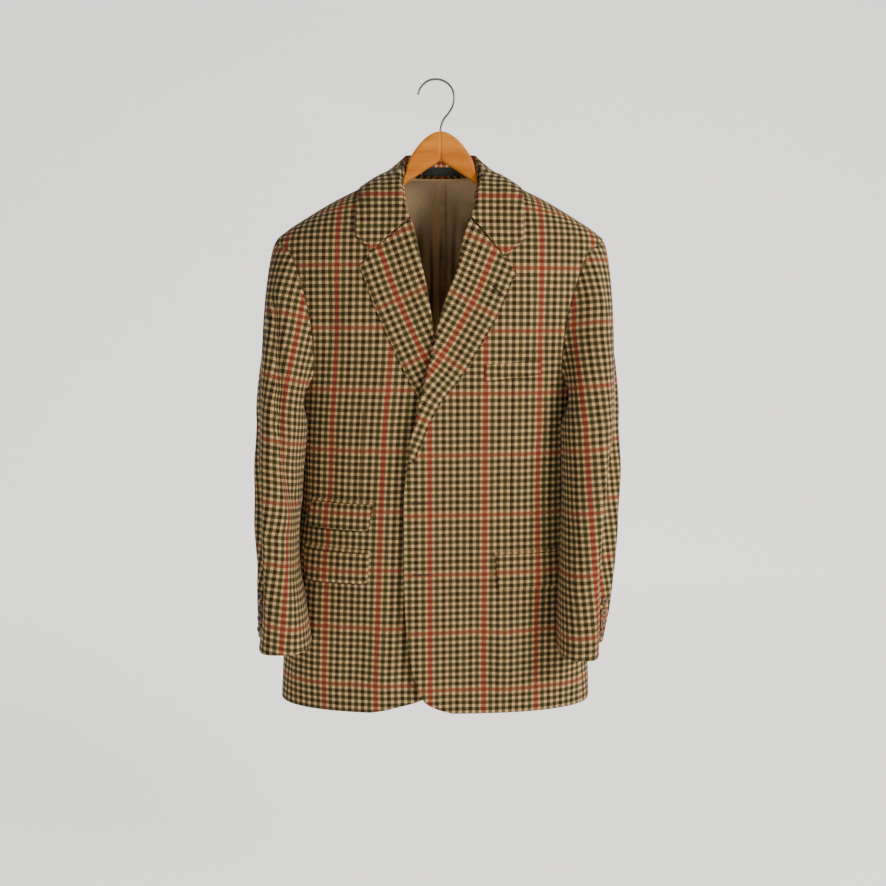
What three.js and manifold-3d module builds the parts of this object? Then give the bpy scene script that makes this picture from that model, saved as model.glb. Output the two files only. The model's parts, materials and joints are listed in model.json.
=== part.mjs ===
// A single-breasted checked sport coat, hanging open and unbuttoned on a plain wooden hanger.
//
// Millimetres, +Z up, +X to the wearer's left and -Y to the front. The origin is the inside of
// the crown of the hanger's hook, where a rail carries it. Every piece of cloth is a closed wall
// between an outer and an inner grid of points, as thick as the cloth and open at its rim.

import * as THREE from "three";
import Module from "manifold-3d";

const wasm = await Module();
wasm.setup();

// ---- sizes of the cloth ----
const WALL = 2.0; // the tweed with its canvas
const COLLAR_WALL = 2.2;
const LINING_WALL = 1.0;
const GAP = 0.3; // left between pieces that touch
const SEAM = GAP / 2; // each panel's own half of a seam gap
const HEM_Z = -975;
const SHOULDER_Z = -238; // the shoulder point, where sleeve meets shoulder seam
const UNDERARM_Z = -482;
const YOKE_Z = -190; // the back's centre, level with the shoulder points along its rows
const NECK_Z = -137; // the neck seam at the nape
const SIDE_SEAM_TURN = 62; // degrees round the body from the front to the front-side seam
const BACK_SEAM_TURN = 118; // and to the side-back seam

// The body's level sections: half width, depth in front of and behind the shoulder line, how
// square the section is (2 is an ellipse), and how far its centre lies to the wearer's left.
const BODY = [
  { z: -120, wide: 50, front: 8, back: 52, square: 2.0, centre: 5 },
  { z: -135, wide: 75, front: 20, back: 57, square: 2.0, centre: 5 },
  { z: -153, wide: 110, front: 37, back: 62, square: 2.1, centre: 5 },
  { z: -179, wide: 163, front: 51, back: 67, square: 2.2, centre: 4.8 },
  { z: -206, wide: 209, front: 61, back: 71, square: 2.3, centre: 4.5 },
  { z: -224, wide: 237, front: 66, back: 74, square: 2.3, centre: 4.5 },
  { z: -240, wide: 254.5, front: 70, back: 76, square: 2.3, centre: 4 },
  { z: -256, wide: 258.5, front: 73, back: 77.5, square: 2.35, centre: 3.5 },
  { z: -290, wide: 254, front: 78, back: 79, square: 2.4, centre: 3 },
  { z: -373, wide: 237, front: 84, back: 80, square: 2.4, centre: 2 },
  { z: -482, wide: 218, front: 86, back: 75, square: 2.5, centre: 1 },
  { z: -600, wide: 217, front: 83, back: 69, square: 2.5, centre: 0 },
  { z: -740, wide: 231, front: 83, back: 72, square: 2.5, centre: -1 },
  { z: -880, wide: 249, front: 84, back: 77, square: 2.5, centre: -3 },
  { z: -980, wide: 255, front: 86, back: 80, square: 2.5, centre: -4 },
];

// The armhole, once round it: degrees from the shoulder point forwards, and the turn round the
// body there. Its height is a cosine between the shoulder point and the underarm.
const ARMHOLE = [
  { round: 0, turn: 90 },
  { round: 15, turn: 74 },
  { round: 33, turn: 57 },
  { round: 55, turn: 52.5 },
  { round: 90, turn: 50 },
  { round: 130, turn: 53 },
  { round: 152, turn: SIDE_SEAM_TURN },
  { round: 180, turn: 90 },
  { round: 208, turn: BACK_SEAM_TURN },
  { round: 232, turn: 126 },
  { round: 275, turn: 129 },
  { round: 305, turn: 127 },
  { round: 327, turn: 121 },
  { round: 345, turn: 107 },
  { round: 360, turn: 90 },
];
const FRONT_CORNER = 152; // round the armhole, where the front meets the side panel
const BACK_CORNER = 208;
const GORGE_ROUND = 34; // level with the start of the gorge
const GORGE_RAIL = 2 - GORGE_ROUND / FRONT_CORNER;
const BREAK_RAIL = 0.8; // where the lapel's roll line starts

// Rows up a panel, shared by the panels that meet at a seam: along the side seams, and round the
// armhole over the front, the side panel and the back.
const SEAM_ROWS = [0, 0.03, 0.07, 0.13, 0.24, 0.38, 0.53, 0.67, 0.8, 1];
const FRONT_ROUNDS = [0, 11, 22, GORGE_ROUND, 48, 65, 83, 101, 119, 137, FRONT_CORNER];
const SIDE_ROUNDS = [FRONT_CORNER, 162, 171, 180, 189, 198, BACK_CORNER];
const HIND_ROUND = 295; // where the sleeve's hind seam starts
const BACK_ROUNDS = [BACK_CORNER, 230, 252, 274, HIND_ROUND, 316, 336, 350, 360];
const NECK_ROWS = [2, 2.2, 2.4, 2.6, 2.8, 3]; // up the shoulder seam to the neck
const BACK_COLUMNS = [0, 1, 2, 3, 4, 5, 6, 7, 8].map((column) => column / 8);

// Each front's inner edge from the hem up: its rounded corner, the straight front edge, the roll
// line of the lapel from the break up, and the neck seam. `rail` is the partner of each point on
// the outer edge: 0 to 1 up the side seam, 1 to 2 up the armhole to the shoulder point.
const FRONT_EDGE = {
  left: [
    { x: 24, z: HEM_Z, rail: 0 },
    { x: 1.7, z: -967.5, rail: 0.03 },
    { x: -20, z: -954, rail: 0.07 },
    { x: -32.7, z: -926, rail: 0.13 },
    { x: -43.3, z: -877, rail: 0.21 },
    { x: -49.3, z: -810, rail: 0.33 },
    { x: -51.7, z: -720, rail: 0.5 },
    { x: -50.6, z: -635, rail: 0.67 },
    { x: -43, z: -570, rail: 0.8 },
    { x: -22, z: -476, rail: 1 },
    { x: -3, z: -401, rail: 1.22 },
    { x: 6, z: -361.6, rail: 1.35 },
    { x: 29.7, z: -292.6, rail: 1.55 },
    { x: 51, z: -212, rail: 1.78 },
    { x: 68, z: -185, rail: 1.86 },
    { x: 79, z: -158, rail: 1.93 },
    { x: 80, z: -135, rail: 2 },
  ],
  right: [
    { x: -105, z: HEM_Z, rail: 0 },
    { x: -67, z: -967.5, rail: 0.03 },
    { x: -24, z: -954, rail: 0.07 },
    { x: 0, z: -928, rail: 0.12 },
    { x: 12, z: -885, rail: 0.2 },
    { x: 16, z: -815, rail: 0.33 },
    { x: 17, z: -720, rail: 0.5 },
    { x: 17, z: -635, rail: 0.67 },
    { x: 16.5, z: -548, rail: 0.82 },
    { x: 8, z: -470, rail: 1 },
    { x: -2, z: -405, rail: 1.22 },
    { x: -9.5, z: -361.6, rail: 1.35 },
    { x: -23, z: -292.6, rail: 1.55 },
    { x: -42, z: -214, rail: 1.78 },
    { x: -58, z: -185, rail: 1.86 },
    { x: -69, z: -158, rail: 1.93 },
    { x: -70, z: -135, rail: 2 },
  ],
};

// The wearer's left front lies on the right one: how far each is moved out, and over which span.
const OVERLAP = {
  left: { lift: 3.2, from_x: 50, to_x: 10 },
  right: { lift: -3.2, from_x: -90, to_x: -50 },
};
const OVERLAP_TOP = { from_z: -250, to_z: -380 };

// Each lapel from the break (rail BREAK_RAIL) up to the gorge: its edge across from the roll line,
// and how high the roll stands off the chest.
const LAPEL = {
  left: [
    { rail: BREAK_RAIL, edge_x: -35, edge_z: -573, height: 2.6 },
    { rail: 1, edge_x: 2, edge_z: -490, height: 3.8 },
    { rail: 1.16, edge_x: 33, edge_z: -450, height: 4.6 },
    { rail: 1.35, edge_x: 65, edge_z: -399, height: 5.4 },
    { rail: 1.55, edge_x: 94, edge_z: -346, height: 6.0 },
    { rail: GORGE_RAIL, edge_x: 117.6, edge_z: -290, height: 6.4 },
  ],
  right: [
    { rail: BREAK_RAIL, edge_x: 10, edge_z: -562, height: 2.6 },
    { rail: 1, edge_x: -22, edge_z: -484, height: 2.6 },
    { rail: 1.16, edge_x: -42, edge_z: -449, height: 2.8 },
    { rail: 1.35, edge_x: -72, edge_z: -386, height: 4.2 },
    { rail: 1.55, edge_x: -96, edge_z: -330, height: 6.0 },
    { rail: GORGE_RAIL, edge_x: -114, edge_z: -280, height: 6.4 },
  ],
};
const NOTCH = { left: { x: 100, z: -268 }, right: { x: -97, z: -259 } };
const COLLAR_CORNER = { left: { x: 125.6, z: -244 }, right: { x: -119.5, z: -236 } };

// Half of the collar from the nape to the gorge: its fold in space (x from the collar's middle),
// and its fall's edge as a turn round the body and a height.
const COLLAR_MIDDLE = 5;
const COLLAR = [
  { at: 0, fold_x: 0, fold_y: 61, fold_z: -101, edge_turn: 180, edge_z: -148, rail: 0 },
  { at: 0.2, fold_x: 28, fold_y: 54, fold_z: -102, edge_turn: 150, edge_z: -149, rail: 0.26 },
  { at: 0.4, fold_x: 52, fold_y: 32, fold_z: -106, edge_turn: 118, edge_z: -152, rail: 0.6 },
  { at: 0.55, fold_x: 59, fold_y: 4, fold_z: -122, edge_turn: 92, edge_z: -154, rail: 0.96 },
  { at: 0.7, fold_x: 59, fold_y: -20, fold_z: -149, edge_turn: 50, edge_z: -176, rail: 1.25 },
  { at: 0.85, fold_x: 51, fold_y: -43, fold_z: -182, edge_turn: 35, edge_z: -207, rail: 1.65 },
  { at: 1, fold_x: 46.5, fold_y: -64, fold_z: -211, edge_turn: 29, edge_z: -238, rail: 2 },
];

// The sleeves: half width towards the body and away from it in front of and behind the long
// fold, half depth front to back, and the place of the section's middle (x from the body's).
const SLEEVE = {
  left: [
    { z: -520, x: 238, y: -36, inward: 50, outward: 34, behind: 60, deep: 76 },
    { z: -600, x: 240, y: -50, inward: 48, outward: 18, behind: 63, deep: 68 },
    { z: -680, x: 238, y: -60, inward: 47, outward: 15, behind: 60, deep: 63 },
    { z: -735, x: 235, y: -66, inward: 45, outward: 14, behind: 60, deep: 60 },
    { z: -800, x: 230, y: -76, inward: 43, outward: 20, behind: 61, deep: 56 },
    { z: -868, x: 224, y: -84, inward: 37, outward: 26, behind: 53, deep: 54 },
  ],
  right: [
    { z: -520, x: -243, y: -26, inward: 45, outward: 30, behind: 55, deep: 80 },
    { z: -600, x: -250, y: -44, inward: 41, outward: 20, behind: 53, deep: 74 },
    { z: -680, x: -251, y: -57, inward: 35, outward: 16, behind: 48, deep: 70 },
    { z: -735, x: -248, y: -66, inward: 32, outward: 16, behind: 47, deep: 66 },
    { z: -800, x: -243, y: -76, inward: 38, outward: 24, behind: 56, deep: 59 },
    { z: -860, x: -240, y: -84, inward: 44, outward: 36, behind: 60, deep: 52 },
  ],
};
// Seams and form down each sleeve: `along` is 0 at the armhole, 1 at the foot of the cap and 2 at
// the cuff. The seams are degrees round the section from its front outwards.
const SLEEVE_SEAMS = [
  { along: 0, hind: 155, fore: -62 },
  { along: 0.3, hind: 155, fore: -62 },
  { along: 1, hind: 150, fore: -80 },
  { along: 2, hind: 150, fore: -95 },
];
// How steeply the cap leaves the armhole: degrees out of the body's surface, by the way round.
const CAP_LEAN = [
  { round: 0, lean: -6 },
  { round: 60, lean: 42 },
  { round: 110, lean: 55 },
  { round: 180, lean: 50 },
  { round: 250, lean: 50 },
  { round: 310, lean: 36 },
  { round: 360, lean: -6 },
];
const SLEEVE_CLEARANCE = 4.5; // between a sleeve and the body's side, where they lie together
// Powers of a sleeve section's width: its pressed front is squarer than its back.
const SECTION_SQUARE = { front: 0.58, back: 0.8 };
const FOLD_BACK = { from_y: 12, to_y: 40 }; // the long fold's shelf, behind the section's middle

// Pockets, as corners on the fronts (x, z): the top edge from the middle outwards, then the foot.
const FLAP_WALL = 2.2;
const FLAPS = {
  hip_right: { side: "right", top: [[-104, -717], [-208, -714]], foot: [[-107, -765], [-207, -765]] },
  ticket_right: { side: "right", top: [[-97, -640], [-194, -639]], foot: [[-103, -681], [-204, -679]] },
  hip_left: { side: "left", top: [[89, -719], [199, -718]], foot: [[93, -773], [197, -772]] },
};
const FLAP_CORNER = 8; // radius of a flap's lower corners
const FLAP_ACROSS = [0, 0.02, 0.06, 0.13, 0.32, 0.5, 0.68, 0.87, 0.94, 0.98, 1];
const JET = { high: 5, wall: 1.6 }; // the folded strip above a flap
const WELT = { top: [[72, -427], [156, -419]], foot: [[72, -450], [156, -442]], wall: 2.0 };

// Buttons: four on each cuff, the first at a height above its edge, and two under the front edge.
const CUFF_BUTTON = { radius: 6.3, high: 2.8, rise: 0.8, first: 66, pitch: 17, around: 116 };
const CUFF_BUTTONS = 4;
const FRONT_BUTTON = { radius: 10, high: 3.2, rise: 0.5, x: -2 };
const FRONT_BUTTON_Z = [-637, -748];
// Rings of a button's turned form: shares of its radius and of its height.
const BUTTON_RINGS = [
  { wide: 0.86, up: 0 },
  { wide: 1, up: 0.35 },
  { wide: 1, up: 0.75 },
  { wide: 0.84, up: 1 },
  { wide: 0.68, up: 0.78 },
];

// The lining of the back, with its pleat at the centre, and the bare label on the collar stand.
const LINING = { hem: 23, top_rail: 2.95, pleat: 9, gap: 0.95 };
const LINING_COLUMNS = [0, 1, 2, 4, 6, 7].map((column) => column / 8); // some of the back's
const LABEL = { from_way: -0.2, to_way: 0.25, wall: 0.6, low: 0.08, high: 0.5 };

// The hanger: two arms that meet at the middle, and a wire hook.
const ARM_MIDDLE = 5.5;
const ARM = [
  { out: 0.15, top: -74, foot: -117.5, deep: 7 },
  { out: 10, top: -76.5, foot: -124, deep: 7 },
  { out: 20, top: -82, foot: -130, deep: 7 },
  { out: 30, top: -90.5, foot: -136.5, deep: 7 },
  { out: 43, top: -107, foot: -145, deep: 7 },
  { out: 48.5, top: -117, foot: -149, deep: 7 },
  { out: 52, top: -127, foot: -151.5, deep: 7 },
  { out: 54.5, top: -140, foot: -153.5, deep: 7 },
  { out: 75, top: -147, foot: -164, deep: 7.5 },
  { out: 110, top: -158.6, foot: -180, deep: 8.5 },
  { out: 150, top: -178, foot: -202, deep: 10 },
  { out: 185, top: -197.3, foot: -221, deep: 11 },
  { out: 212, top: -213, foot: -234, deep: 10 },
  { out: 222, top: -219.5, foot: -232, deep: 8 },
];
const ARM_SQUARE = 0.55; // power of the arm's rounded section
const WIRE = 3.4;
const SHANK = { x: 5.5, foot_z: -96 };
// The wire's middle line from its foot in the arms to its tip (x, z), round the rail.
const HOOK = [
  [SHANK.x, SHANK.foot_z],
  [SHANK.x, -84],
  [SHANK.x, -70],
  [9.5, -58],
  [18, -47],
  [23.4, -38],
  [25.9, -27],
  [23.7, -14],
  [16.6, -4.8],
  [7.5, 0.2],
  [-2, 1.7],
  [-12, 0],
  [-21, -5.8],
  [-26.5, -13],
  [-29, -21],
];

// ---- colours ----
const FINISH = {
  tweed: { color: 0x8a7a55, roughness: 0.95, metalness: 0 },
  lining: { color: 0x857351, roughness: 0.45, metalness: 0 },
  label: { color: 0x27302c, roughness: 0.7, metalness: 0 },
  horn: { color: 0x6b4c33, roughness: 0.35, metalness: 0 },
  wood: { color: 0xb9804c, roughness: 0.5, metalness: 0 },
  steel: { color: 0x4a4a4c, roughness: 0.35, metalness: 1 },
};

// ---- helpers ----
const radians = THREE.MathUtils.degToRad;
const mix = THREE.MathUtils.lerp;
const ease = (t) => THREE.MathUtils.smoothstep(t, 0, 1);
const steps = (count) => Array.from({ length: count }, (_, i) => i);
const span = (count, from = 0, to = 1) => steps(count + 1).map((i) => mix(from, to, i / count));

// A smooth curve through one column of a table, against its key column, that never overshoots.
function track(rows, key, column) {
  const sorted = [...rows].sort((a, b) => a[key] - b[key]);
  const at = sorted.map((row) => row[key]);
  const value = sorted.map((row) => row[column]);
  const rise = at.slice(1).map((k, i) => (value[i + 1] - value[i]) / (k - at[i]));
  const slope = value.map((_, i) => {
    const before = rise[Math.max(i - 1, 0)];
    const after = rise[Math.min(i, rise.length - 1)];
    return before * after <= 0 ? 0 : (2 * before * after) / (before + after);
  });
  return (wanted) => {
    const k = THREE.MathUtils.clamp(wanted, at[0], at.at(-1));
    const i = Math.min(at.findLastIndex((start) => start <= k), rise.length - 1);
    const width = at[i + 1] - at[i];
    const t = (k - at[i]) / width;
    const bend = t * (1 - t) * width;
    return (
      mix(value[i], value[i + 1], t * t * (3 - 2 * t)) +
      bend * ((1 - t) * slope[i] - t * slope[i + 1])
    );
  };
}

const tracks = (rows, key, ...columns) =>
  Object.fromEntries(columns.map((column) => [column, track(rows, key, column)]));

const meshes = [];

function addMesh(name, geometry, finish) {
  const mesh = new THREE.Mesh(geometry, new THREE.MeshStandardMaterial(FINISH[finish]));
  mesh.name = name;
  meshes.push(mesh);
  return mesh;
}

function signedVolume(points, faces) {
  const normal = new THREE.Vector3();
  let total = 0;
  for (const [a, b, c] of faces)
    total += points[a].dot(normal.crossVectors(points[b], points[c])) / 6;
  return total;
}

function solidGeometry(points, faces) {
  const outward = signedVolume(points, faces) > 0;
  const geometry = new THREE.BufferGeometry().setFromPoints(points);
  geometry.setIndex(faces.flatMap(([a, b, c]) => (outward ? [a, b, c] : [a, c, b])));
  geometry.computeVertexNormals();
  return geometry;
}

// A closed wall: place(u, v, depth) gives the outer face at depth 0 and the inner one at 1, for
// each u across and each v along.
function addWall(name, finish, across, along, place) {
  const wide = across.length;
  const long = along.length;
  const face = wide * long;
  const points = [0, 1].flatMap((depth) =>
    along.flatMap((v) => across.map((u) => place(u, v, depth))),
  );
  const faces = [];
  const quad = (a, b, c, d) => faces.push([a, b, c], [a, c, d]);
  for (let row = 0; row + 1 < long; row++)
    for (let column = 0; column + 1 < wide; column++) {
      const a = row * wide + column;
      quad(a, a + 1, a + wide + 1, a + wide);
      quad(face + a, face + a + wide, face + a + wide + 1, face + a + 1);
    }
  const rim = [
    ...steps(wide - 1),
    ...steps(long - 1).map((row) => row * wide + wide - 1),
    ...steps(wide - 1).map((column) => face - 1 - column),
    ...steps(long - 1).map((row) => (long - 1 - row) * wide),
  ];
  rim.forEach((a, i) => {
    const b = rim[(i + 1) % rim.length];
    quad(b, a, face + a, face + b);
  });
  return addMesh(name, solidGeometry(points, faces), finish);
}

// ---- the body's form ----
const body = tracks(BODY, "z", "wide", "front", "back", "square", "centre");

// A point of the form: turn is in degrees round it, 0 at the front and 90 at the wearer's left.
function formPoint(turn, z) {
  const sine = Math.sin(radians(turn));
  const cosine = Math.cos(radians(turn));
  const square = body.square(z);
  const reach = (Math.abs(sine) ** square + Math.abs(cosine) ** square) ** (-1 / square);
  const deep = cosine > 0 ? body.front(z) : body.back(z);
  return new THREE.Vector3(
    body.centre(z) + body.wide(z) * reach * sine,
    -deep * reach * cosine,
    z,
  );
}

function formNormal(turn, z) {
  const round = formPoint(turn + 0.2, z).sub(formPoint(turn - 0.2, z));
  const up = formPoint(turn, z + 0.5).sub(formPoint(turn, z - 0.5));
  return round.cross(up).normalize();
}

function bodyPoint(turn, z, out) {
  return formPoint(turn, z).addScaledVector(formNormal(turn, z), out);
}

// The turn at which the front of the form passes x at height z.
function turnAt(x, z) {
  const square = body.square(z);
  const share = Math.min(Math.abs(x - body.centre(z)) / body.wide(z), 0.9999) ** square;
  const turn = Math.atan((share / (1 - share)) ** (1 / square));
  return THREE.MathUtils.radToDeg(turn) * Math.sign(x - body.centre(z));
}

// A change of turn that moves a point by a length along the surface.
function turnFor(length, turn, z) {
  return length / formPoint(turn + 0.5, z).distanceTo(formPoint(turn - 0.5, z));
}

function frontLift(side, x, z) {
  const { lift, from_x, to_x } = OVERLAP[side];
  const { from_z, to_z } = OVERLAP_TOP;
  return lift * ease((x - from_x) / (to_x - from_x)) * ease((z - from_z) / (to_z - from_z));
}

// A point of a front panel's outer face at turn and z, or at x and z, moved out of it.
function frontByTurn(side, turn, z, out) {
  return bodyPoint(turn, z, out + frontLift(side, formPoint(turn, z).x, z));
}
const frontByX = (side, x, z, out) => frontByTurn(side, turnAt(x, z), z, out);

const armholeTurn = track(ARMHOLE, "round", "turn");
function armholeAt(round) {
  const swing = (1 + Math.cos(radians(round))) / 2;
  return { turn: armholeTurn(round), z: mix(UNDERARM_Z, SHOULDER_Z, swing) };
}
const frontCornerZ = armholeAt(FRONT_CORNER).z;
const backCornerZ = armholeAt(BACK_CORNER).z;

const SIDES = [
  { side: "left", sign: 1 },
  { side: "right", sign: -1 },
];

// ---- body panels ----
function frontOuterEdge(rail) {
  if (rail >= 1) return armholeAt(FRONT_CORNER * (2 - rail));
  return { turn: SIDE_SEAM_TURN, z: mix(HEM_Z, frontCornerZ, rail) };
}

function addFront({ side, sign }) {
  const armholeRows = FRONT_ROUNDS.map((round) => 2 - round / FRONT_CORNER).reverse();
  const rails = [...SEAM_ROWS, ...armholeRows.slice(1)];
  addWall(`front_${side}`, "tweed", span(11), rails, (u, rail, depth) => {
    const { x, y: z } = rollPoint(side, rail);
    const outer = frontOuterEdge(rail);
    const to = sign * (outer.turn - turnFor(SEAM, outer.turn, outer.z));
    const innerTurn = turnAt(x, z);
    const from = rail === 2 ? to : innerTurn + sign * turnFor(SEAM, innerTurn, z);
    return frontByTurn(side, mix(from, to, u), mix(z, outer.z, u), -WALL * depth);
  });
}

function addSide({ side, sign }) {
  addWall(`side_${side}`, "tweed", SIDE_ROUNDS, SEAM_ROWS, (round, v, depth) => {
    const top = armholeAt(round);
    const z = mix(HEM_Z, top.z, v);
    const share = (round - FRONT_CORNER) / (BACK_CORNER - FRONT_CORNER);
    const low = mix(SIDE_SEAM_TURN, BACK_SEAM_TURN, share);
    const inside = turnFor(SEAM, low, z) * (1 - 2 * share);
    return bodyPoint(sign * (mix(low, top.turn, v ** 3) + inside), z, -WALL * depth);
  });
}

// The back's row stations up the armhole, above its foot at 1.
const BACK_ARMHOLE_ROWS = BACK_ROUNDS.slice(1).map(
  (round) => 1 + (round - BACK_CORNER) / (360 - BACK_CORNER),
);

function backOuterEdge(rail) {
  if (rail <= 1) return { turn: BACK_SEAM_TURN, z: mix(HEM_Z, backCornerZ, rail) };
  if (rail <= 2) return armholeAt(mix(BACK_CORNER, 360, rail - 1));
  return { turn: 90, z: mix(SHOULDER_Z, NECK_Z + 1.5, rail - 2) };
}

function backInnerZ(rail) {
  if (rail <= 1) return mix(HEM_Z, backCornerZ, rail);
  if (rail <= 2) return mix(backCornerZ, YOKE_Z, rail - 1);
  return mix(YOKE_Z, NECK_Z, rail - 2);
}

function addBack({ side, sign }) {
  const rails = [...SEAM_ROWS, ...BACK_ARMHOLE_ROWS, ...NECK_ROWS.slice(1)];
  addWall(`back_${side}`, "tweed", BACK_COLUMNS, rails, (u, rail, depth) => {
    const outer = backOuterEdge(rail);
    const innerZ = backInnerZ(rail);
    const from = 180 - turnFor(SEAM, 180, innerZ);
    const to = outer.turn + turnFor(SEAM, outer.turn, outer.z);
    return bodyPoint(sign * mix(from, to, u), mix(innerZ, outer.z, u), -WALL * depth);
  });
}

// ---- lapels ----
const LAY_GAP = 0.8; // under a piece that lies on a panel, whose facets aren't the same
const CURL_STEPS = 4; // across the roll, then FLAT_STEPS over the chest
const FLAT_STEPS = 5;
const TURN_STEPS = span(CURL_STEPS + FLAT_STEPS, 0, CURL_STEPS + FLAT_STEPS);
const ROLL_SETTLE = 0.6; // of the lapel's width, over which the roll sinks to the chest
const NOTCH_STEP = 3; // of the flat steps, at the notch

// A wall that curls out of a front panel's edge at `roll` and lies back over the panel, through
// the points (x, z) that path(share) gives. `out` is measured from the wall's middle.
function turnedBack(side, roll, path, height, step, out) {
  const radius = height / 2;
  const crown = height - WALL / 2;
  if (step <= CURL_STEPS) {
    const curl = (step / CURL_STEPS) * Math.PI;
    const way = path(1).sub(roll).normalize();
    const back = SEAM + (radius + out) * Math.sin(curl);
    const lift = radius - WALL / 2 - (radius + out) * Math.cos(curl);
    const place = roll.clone().addScaledVector(way, -back);
    return frontByX(side, place.x, place.y, lift);
  }
  const share = (step - CURL_STEPS) / FLAT_STEPS;
  const place = path(share);
  const lift = mix(crown, Math.min(LAY_GAP + WALL / 2, crown), ease(share / ROLL_SETTLE));
  return frontByX(side, place.x, place.y, lift + out);
}

// From the start of the gorge down it to the notch, then out to a corner, moved down by `low`.
function gorgePath(side, corner, low) {
  const roll = rollPoint(side, GORGE_RAIL);
  const notch = new THREE.Vector2(NOTCH[side].x, NOTCH[side].z);
  const turn = NOTCH_STEP / FLAT_STEPS;
  const shift = new THREE.Vector2(0, -low);
  return (share) => {
    const place = roll.clone().lerp(notch, Math.min(share / turn, 1));
    return place.lerp(corner, Math.max((share - turn) / (1 - turn), 0)).add(shift);
  };
}

const edgeTracks = {
  left: tracks(FRONT_EDGE.left, "rail", "x", "z"),
  right: tracks(FRONT_EDGE.right, "rail", "x", "z"),
};
function rollPoint(side, rail) {
  return new THREE.Vector2(edgeTracks[side].x(rail), edgeTracks[side].z(rail));
}

function addLapel({ side }) {
  const lapel = tracks(LAPEL[side], "rail", "edge_x", "edge_z", "height");
  const seamRows = SEAM_ROWS.filter((rail) => rail >= BREAK_RAIL);
  const armholeRows = FRONT_ROUNDS.filter((round) => round >= GORGE_ROUND);
  const rails = [...seamRows, ...armholeRows.map((round) => 2 - round / FRONT_CORNER).reverse().slice(1)];
  addWall(`lapel_${side}`, "tweed", TURN_STEPS, rails, (step, rail, depth) => {
    const roll = rollPoint(side, rail);
    const edge = new THREE.Vector2(lapel.edge_x(rail), lapel.edge_z(rail));
    const top = rail === GORGE_RAIL;
    const path = top ? gorgePath(side, edge, 2 * SEAM) : (share) => roll.clone().lerp(edge, share);
    return turnedBack(side, roll, path, lapel.height(rail), step, WALL * (0.5 - depth));
  });
}

// ---- collar ----
const COLLAR_SHORT = 0.008; // of a rail, by which the collar's curl stops short of the lapel's
const neckRail = (share) => mix(2, GORGE_RAIL + COLLAR_SHORT, share - 1);

// The neck seam that the stand grows from, at a share from the nape (0) past the shoulder seam
// (1) to the gorge (2), with the way out of the body there.
function neckSeam(side, sign, share) {
  if (share <= 1) {
    const turn = sign * mix(180, 90, share);
    const z = mix(NECK_Z, -135.5, share);
    return { place: formPoint(turn, z), normal: formNormal(turn, z) };
  }
  const { x, y: z } = rollPoint(side, neckRail(share));
  return { place: frontByX(side, x, z, 0), normal: formNormal(turnAt(x, z), z) };
}

// A point moved out along the body's normal until it stands `clear` of the body's form.
function standOff(point, clear) {
  const { x, y, z } = point;
  const deep = y < 0 ? body.front(z) : body.back(z);
  const turn = THREE.MathUtils.radToDeg(Math.atan2((x - body.centre(z)) / body.wide(z), -y / deep));
  const normal = formNormal(turn, z);
  const off = point.clone().sub(formPoint(turn, z)).dot(normal);
  return off < clear ? point.clone().addScaledVector(normal, clear - off) : point;
}

const collar = tracks(COLLAR, "at", "fold_x", "fold_y", "fold_z", "edge_turn", "edge_z", "rail");
// The fold's half widths, and how far below it they are reached.
const FOLD = { inner: 2.4, inner_drop: 4.5, outer: 4.2, outer_drop: 2.7 };
const STAND_BEND = 0.55; // of the way from the stand's foot to the fold's inner side
const FALL_FROM = 0.22; // of the fall, where its even steps begin
const COLLAR_REST = LAY_GAP + COLLAR_WALL / 2;
const GORGE_BLEND = 0.24; // of the half collar, over which its end turns to the gorge
const GORGE_HEIGHT = 6.4;
const FOOT_GAP = 2.0; // from the panels' edge to the middle of the stand's foot
const WAYS = span(24, -1, 1); // from the wearer's right gorge to the left one

// The collar's middle face across one section, from the foot of the stand over the fold to the
// fall's edge, in the same steps as a lapel.
function collarSection(way) {
  const at = Math.abs(way);
  const sign = way < 0 ? -1 : 1;
  const side = sign < 0 ? "right" : "left";
  const fold = new THREE.Vector3(
    COLLAR_MIDDLE + sign * collar.fold_x(at),
    collar.fold_y(at),
    collar.fold_z(at),
  );
  const seam = neckSeam(side, sign, collar.rail(at));
  const edge = bodyPoint(sign * collar.edge_turn(at), collar.edge_z(at), COLLAR_REST);
  const out = edge.clone().sub(fold).setZ(0).normalize();
  const foot = seam.place.clone().addScaledVector(seam.normal, -WALL / 2);
  foot.addScaledVector(fold.clone().sub(foot).normalize(), FOOT_GAP);
  const inner = fold.clone().addScaledVector(out, -FOLD.inner);
  inner.z -= FOLD.inner_drop;
  const outer = fold.clone().addScaledVector(out, FOLD.outer);
  outer.z -= FOLD.outer_drop;
  const bulge = standOff(outer.clone().lerp(edge, 0.5), COLLAR_REST + 2.5);
  const fall = new THREE.CatmullRomCurve3([fold, outer, bulge, edge], false, "centripetal");
  const points = [foot, foot.clone().lerp(inner, STAND_BEND), inner, fold];
  span(FLAT_STEPS, FALL_FROM, 1).forEach((t) => points.push(standOff(fall.getPoint(t), COLLAR_REST)));

  const blend = ease((at - 1 + GORGE_BLEND) / GORGE_BLEND);
  if (blend === 0) return points;
  const corner = new THREE.Vector2(COLLAR_CORNER[side].x, COLLAR_CORNER[side].z);
  const end = new THREE.Vector2(edge.x, edge.z).lerp(corner, blend);
  const roll = rollPoint(side, neckRail(collar.rail(at)));
  const gorge = gorgePath(side, corner, -SEAM);
  const bend = (share) => gorge(share).sub(gorge(0).lerp(gorge(1), share));
  const path = (share) => roll.clone().lerp(end, share).addScaledVector(bend(share), blend ** 2);
  return points.map((point, step) => {
    point.lerp(turnedBack(side, roll, path, GORGE_HEIGHT, step, 0), blend);
    return step > CURL_STEPS ? standOff(point, COLLAR_REST) : point;
  });
}

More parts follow.
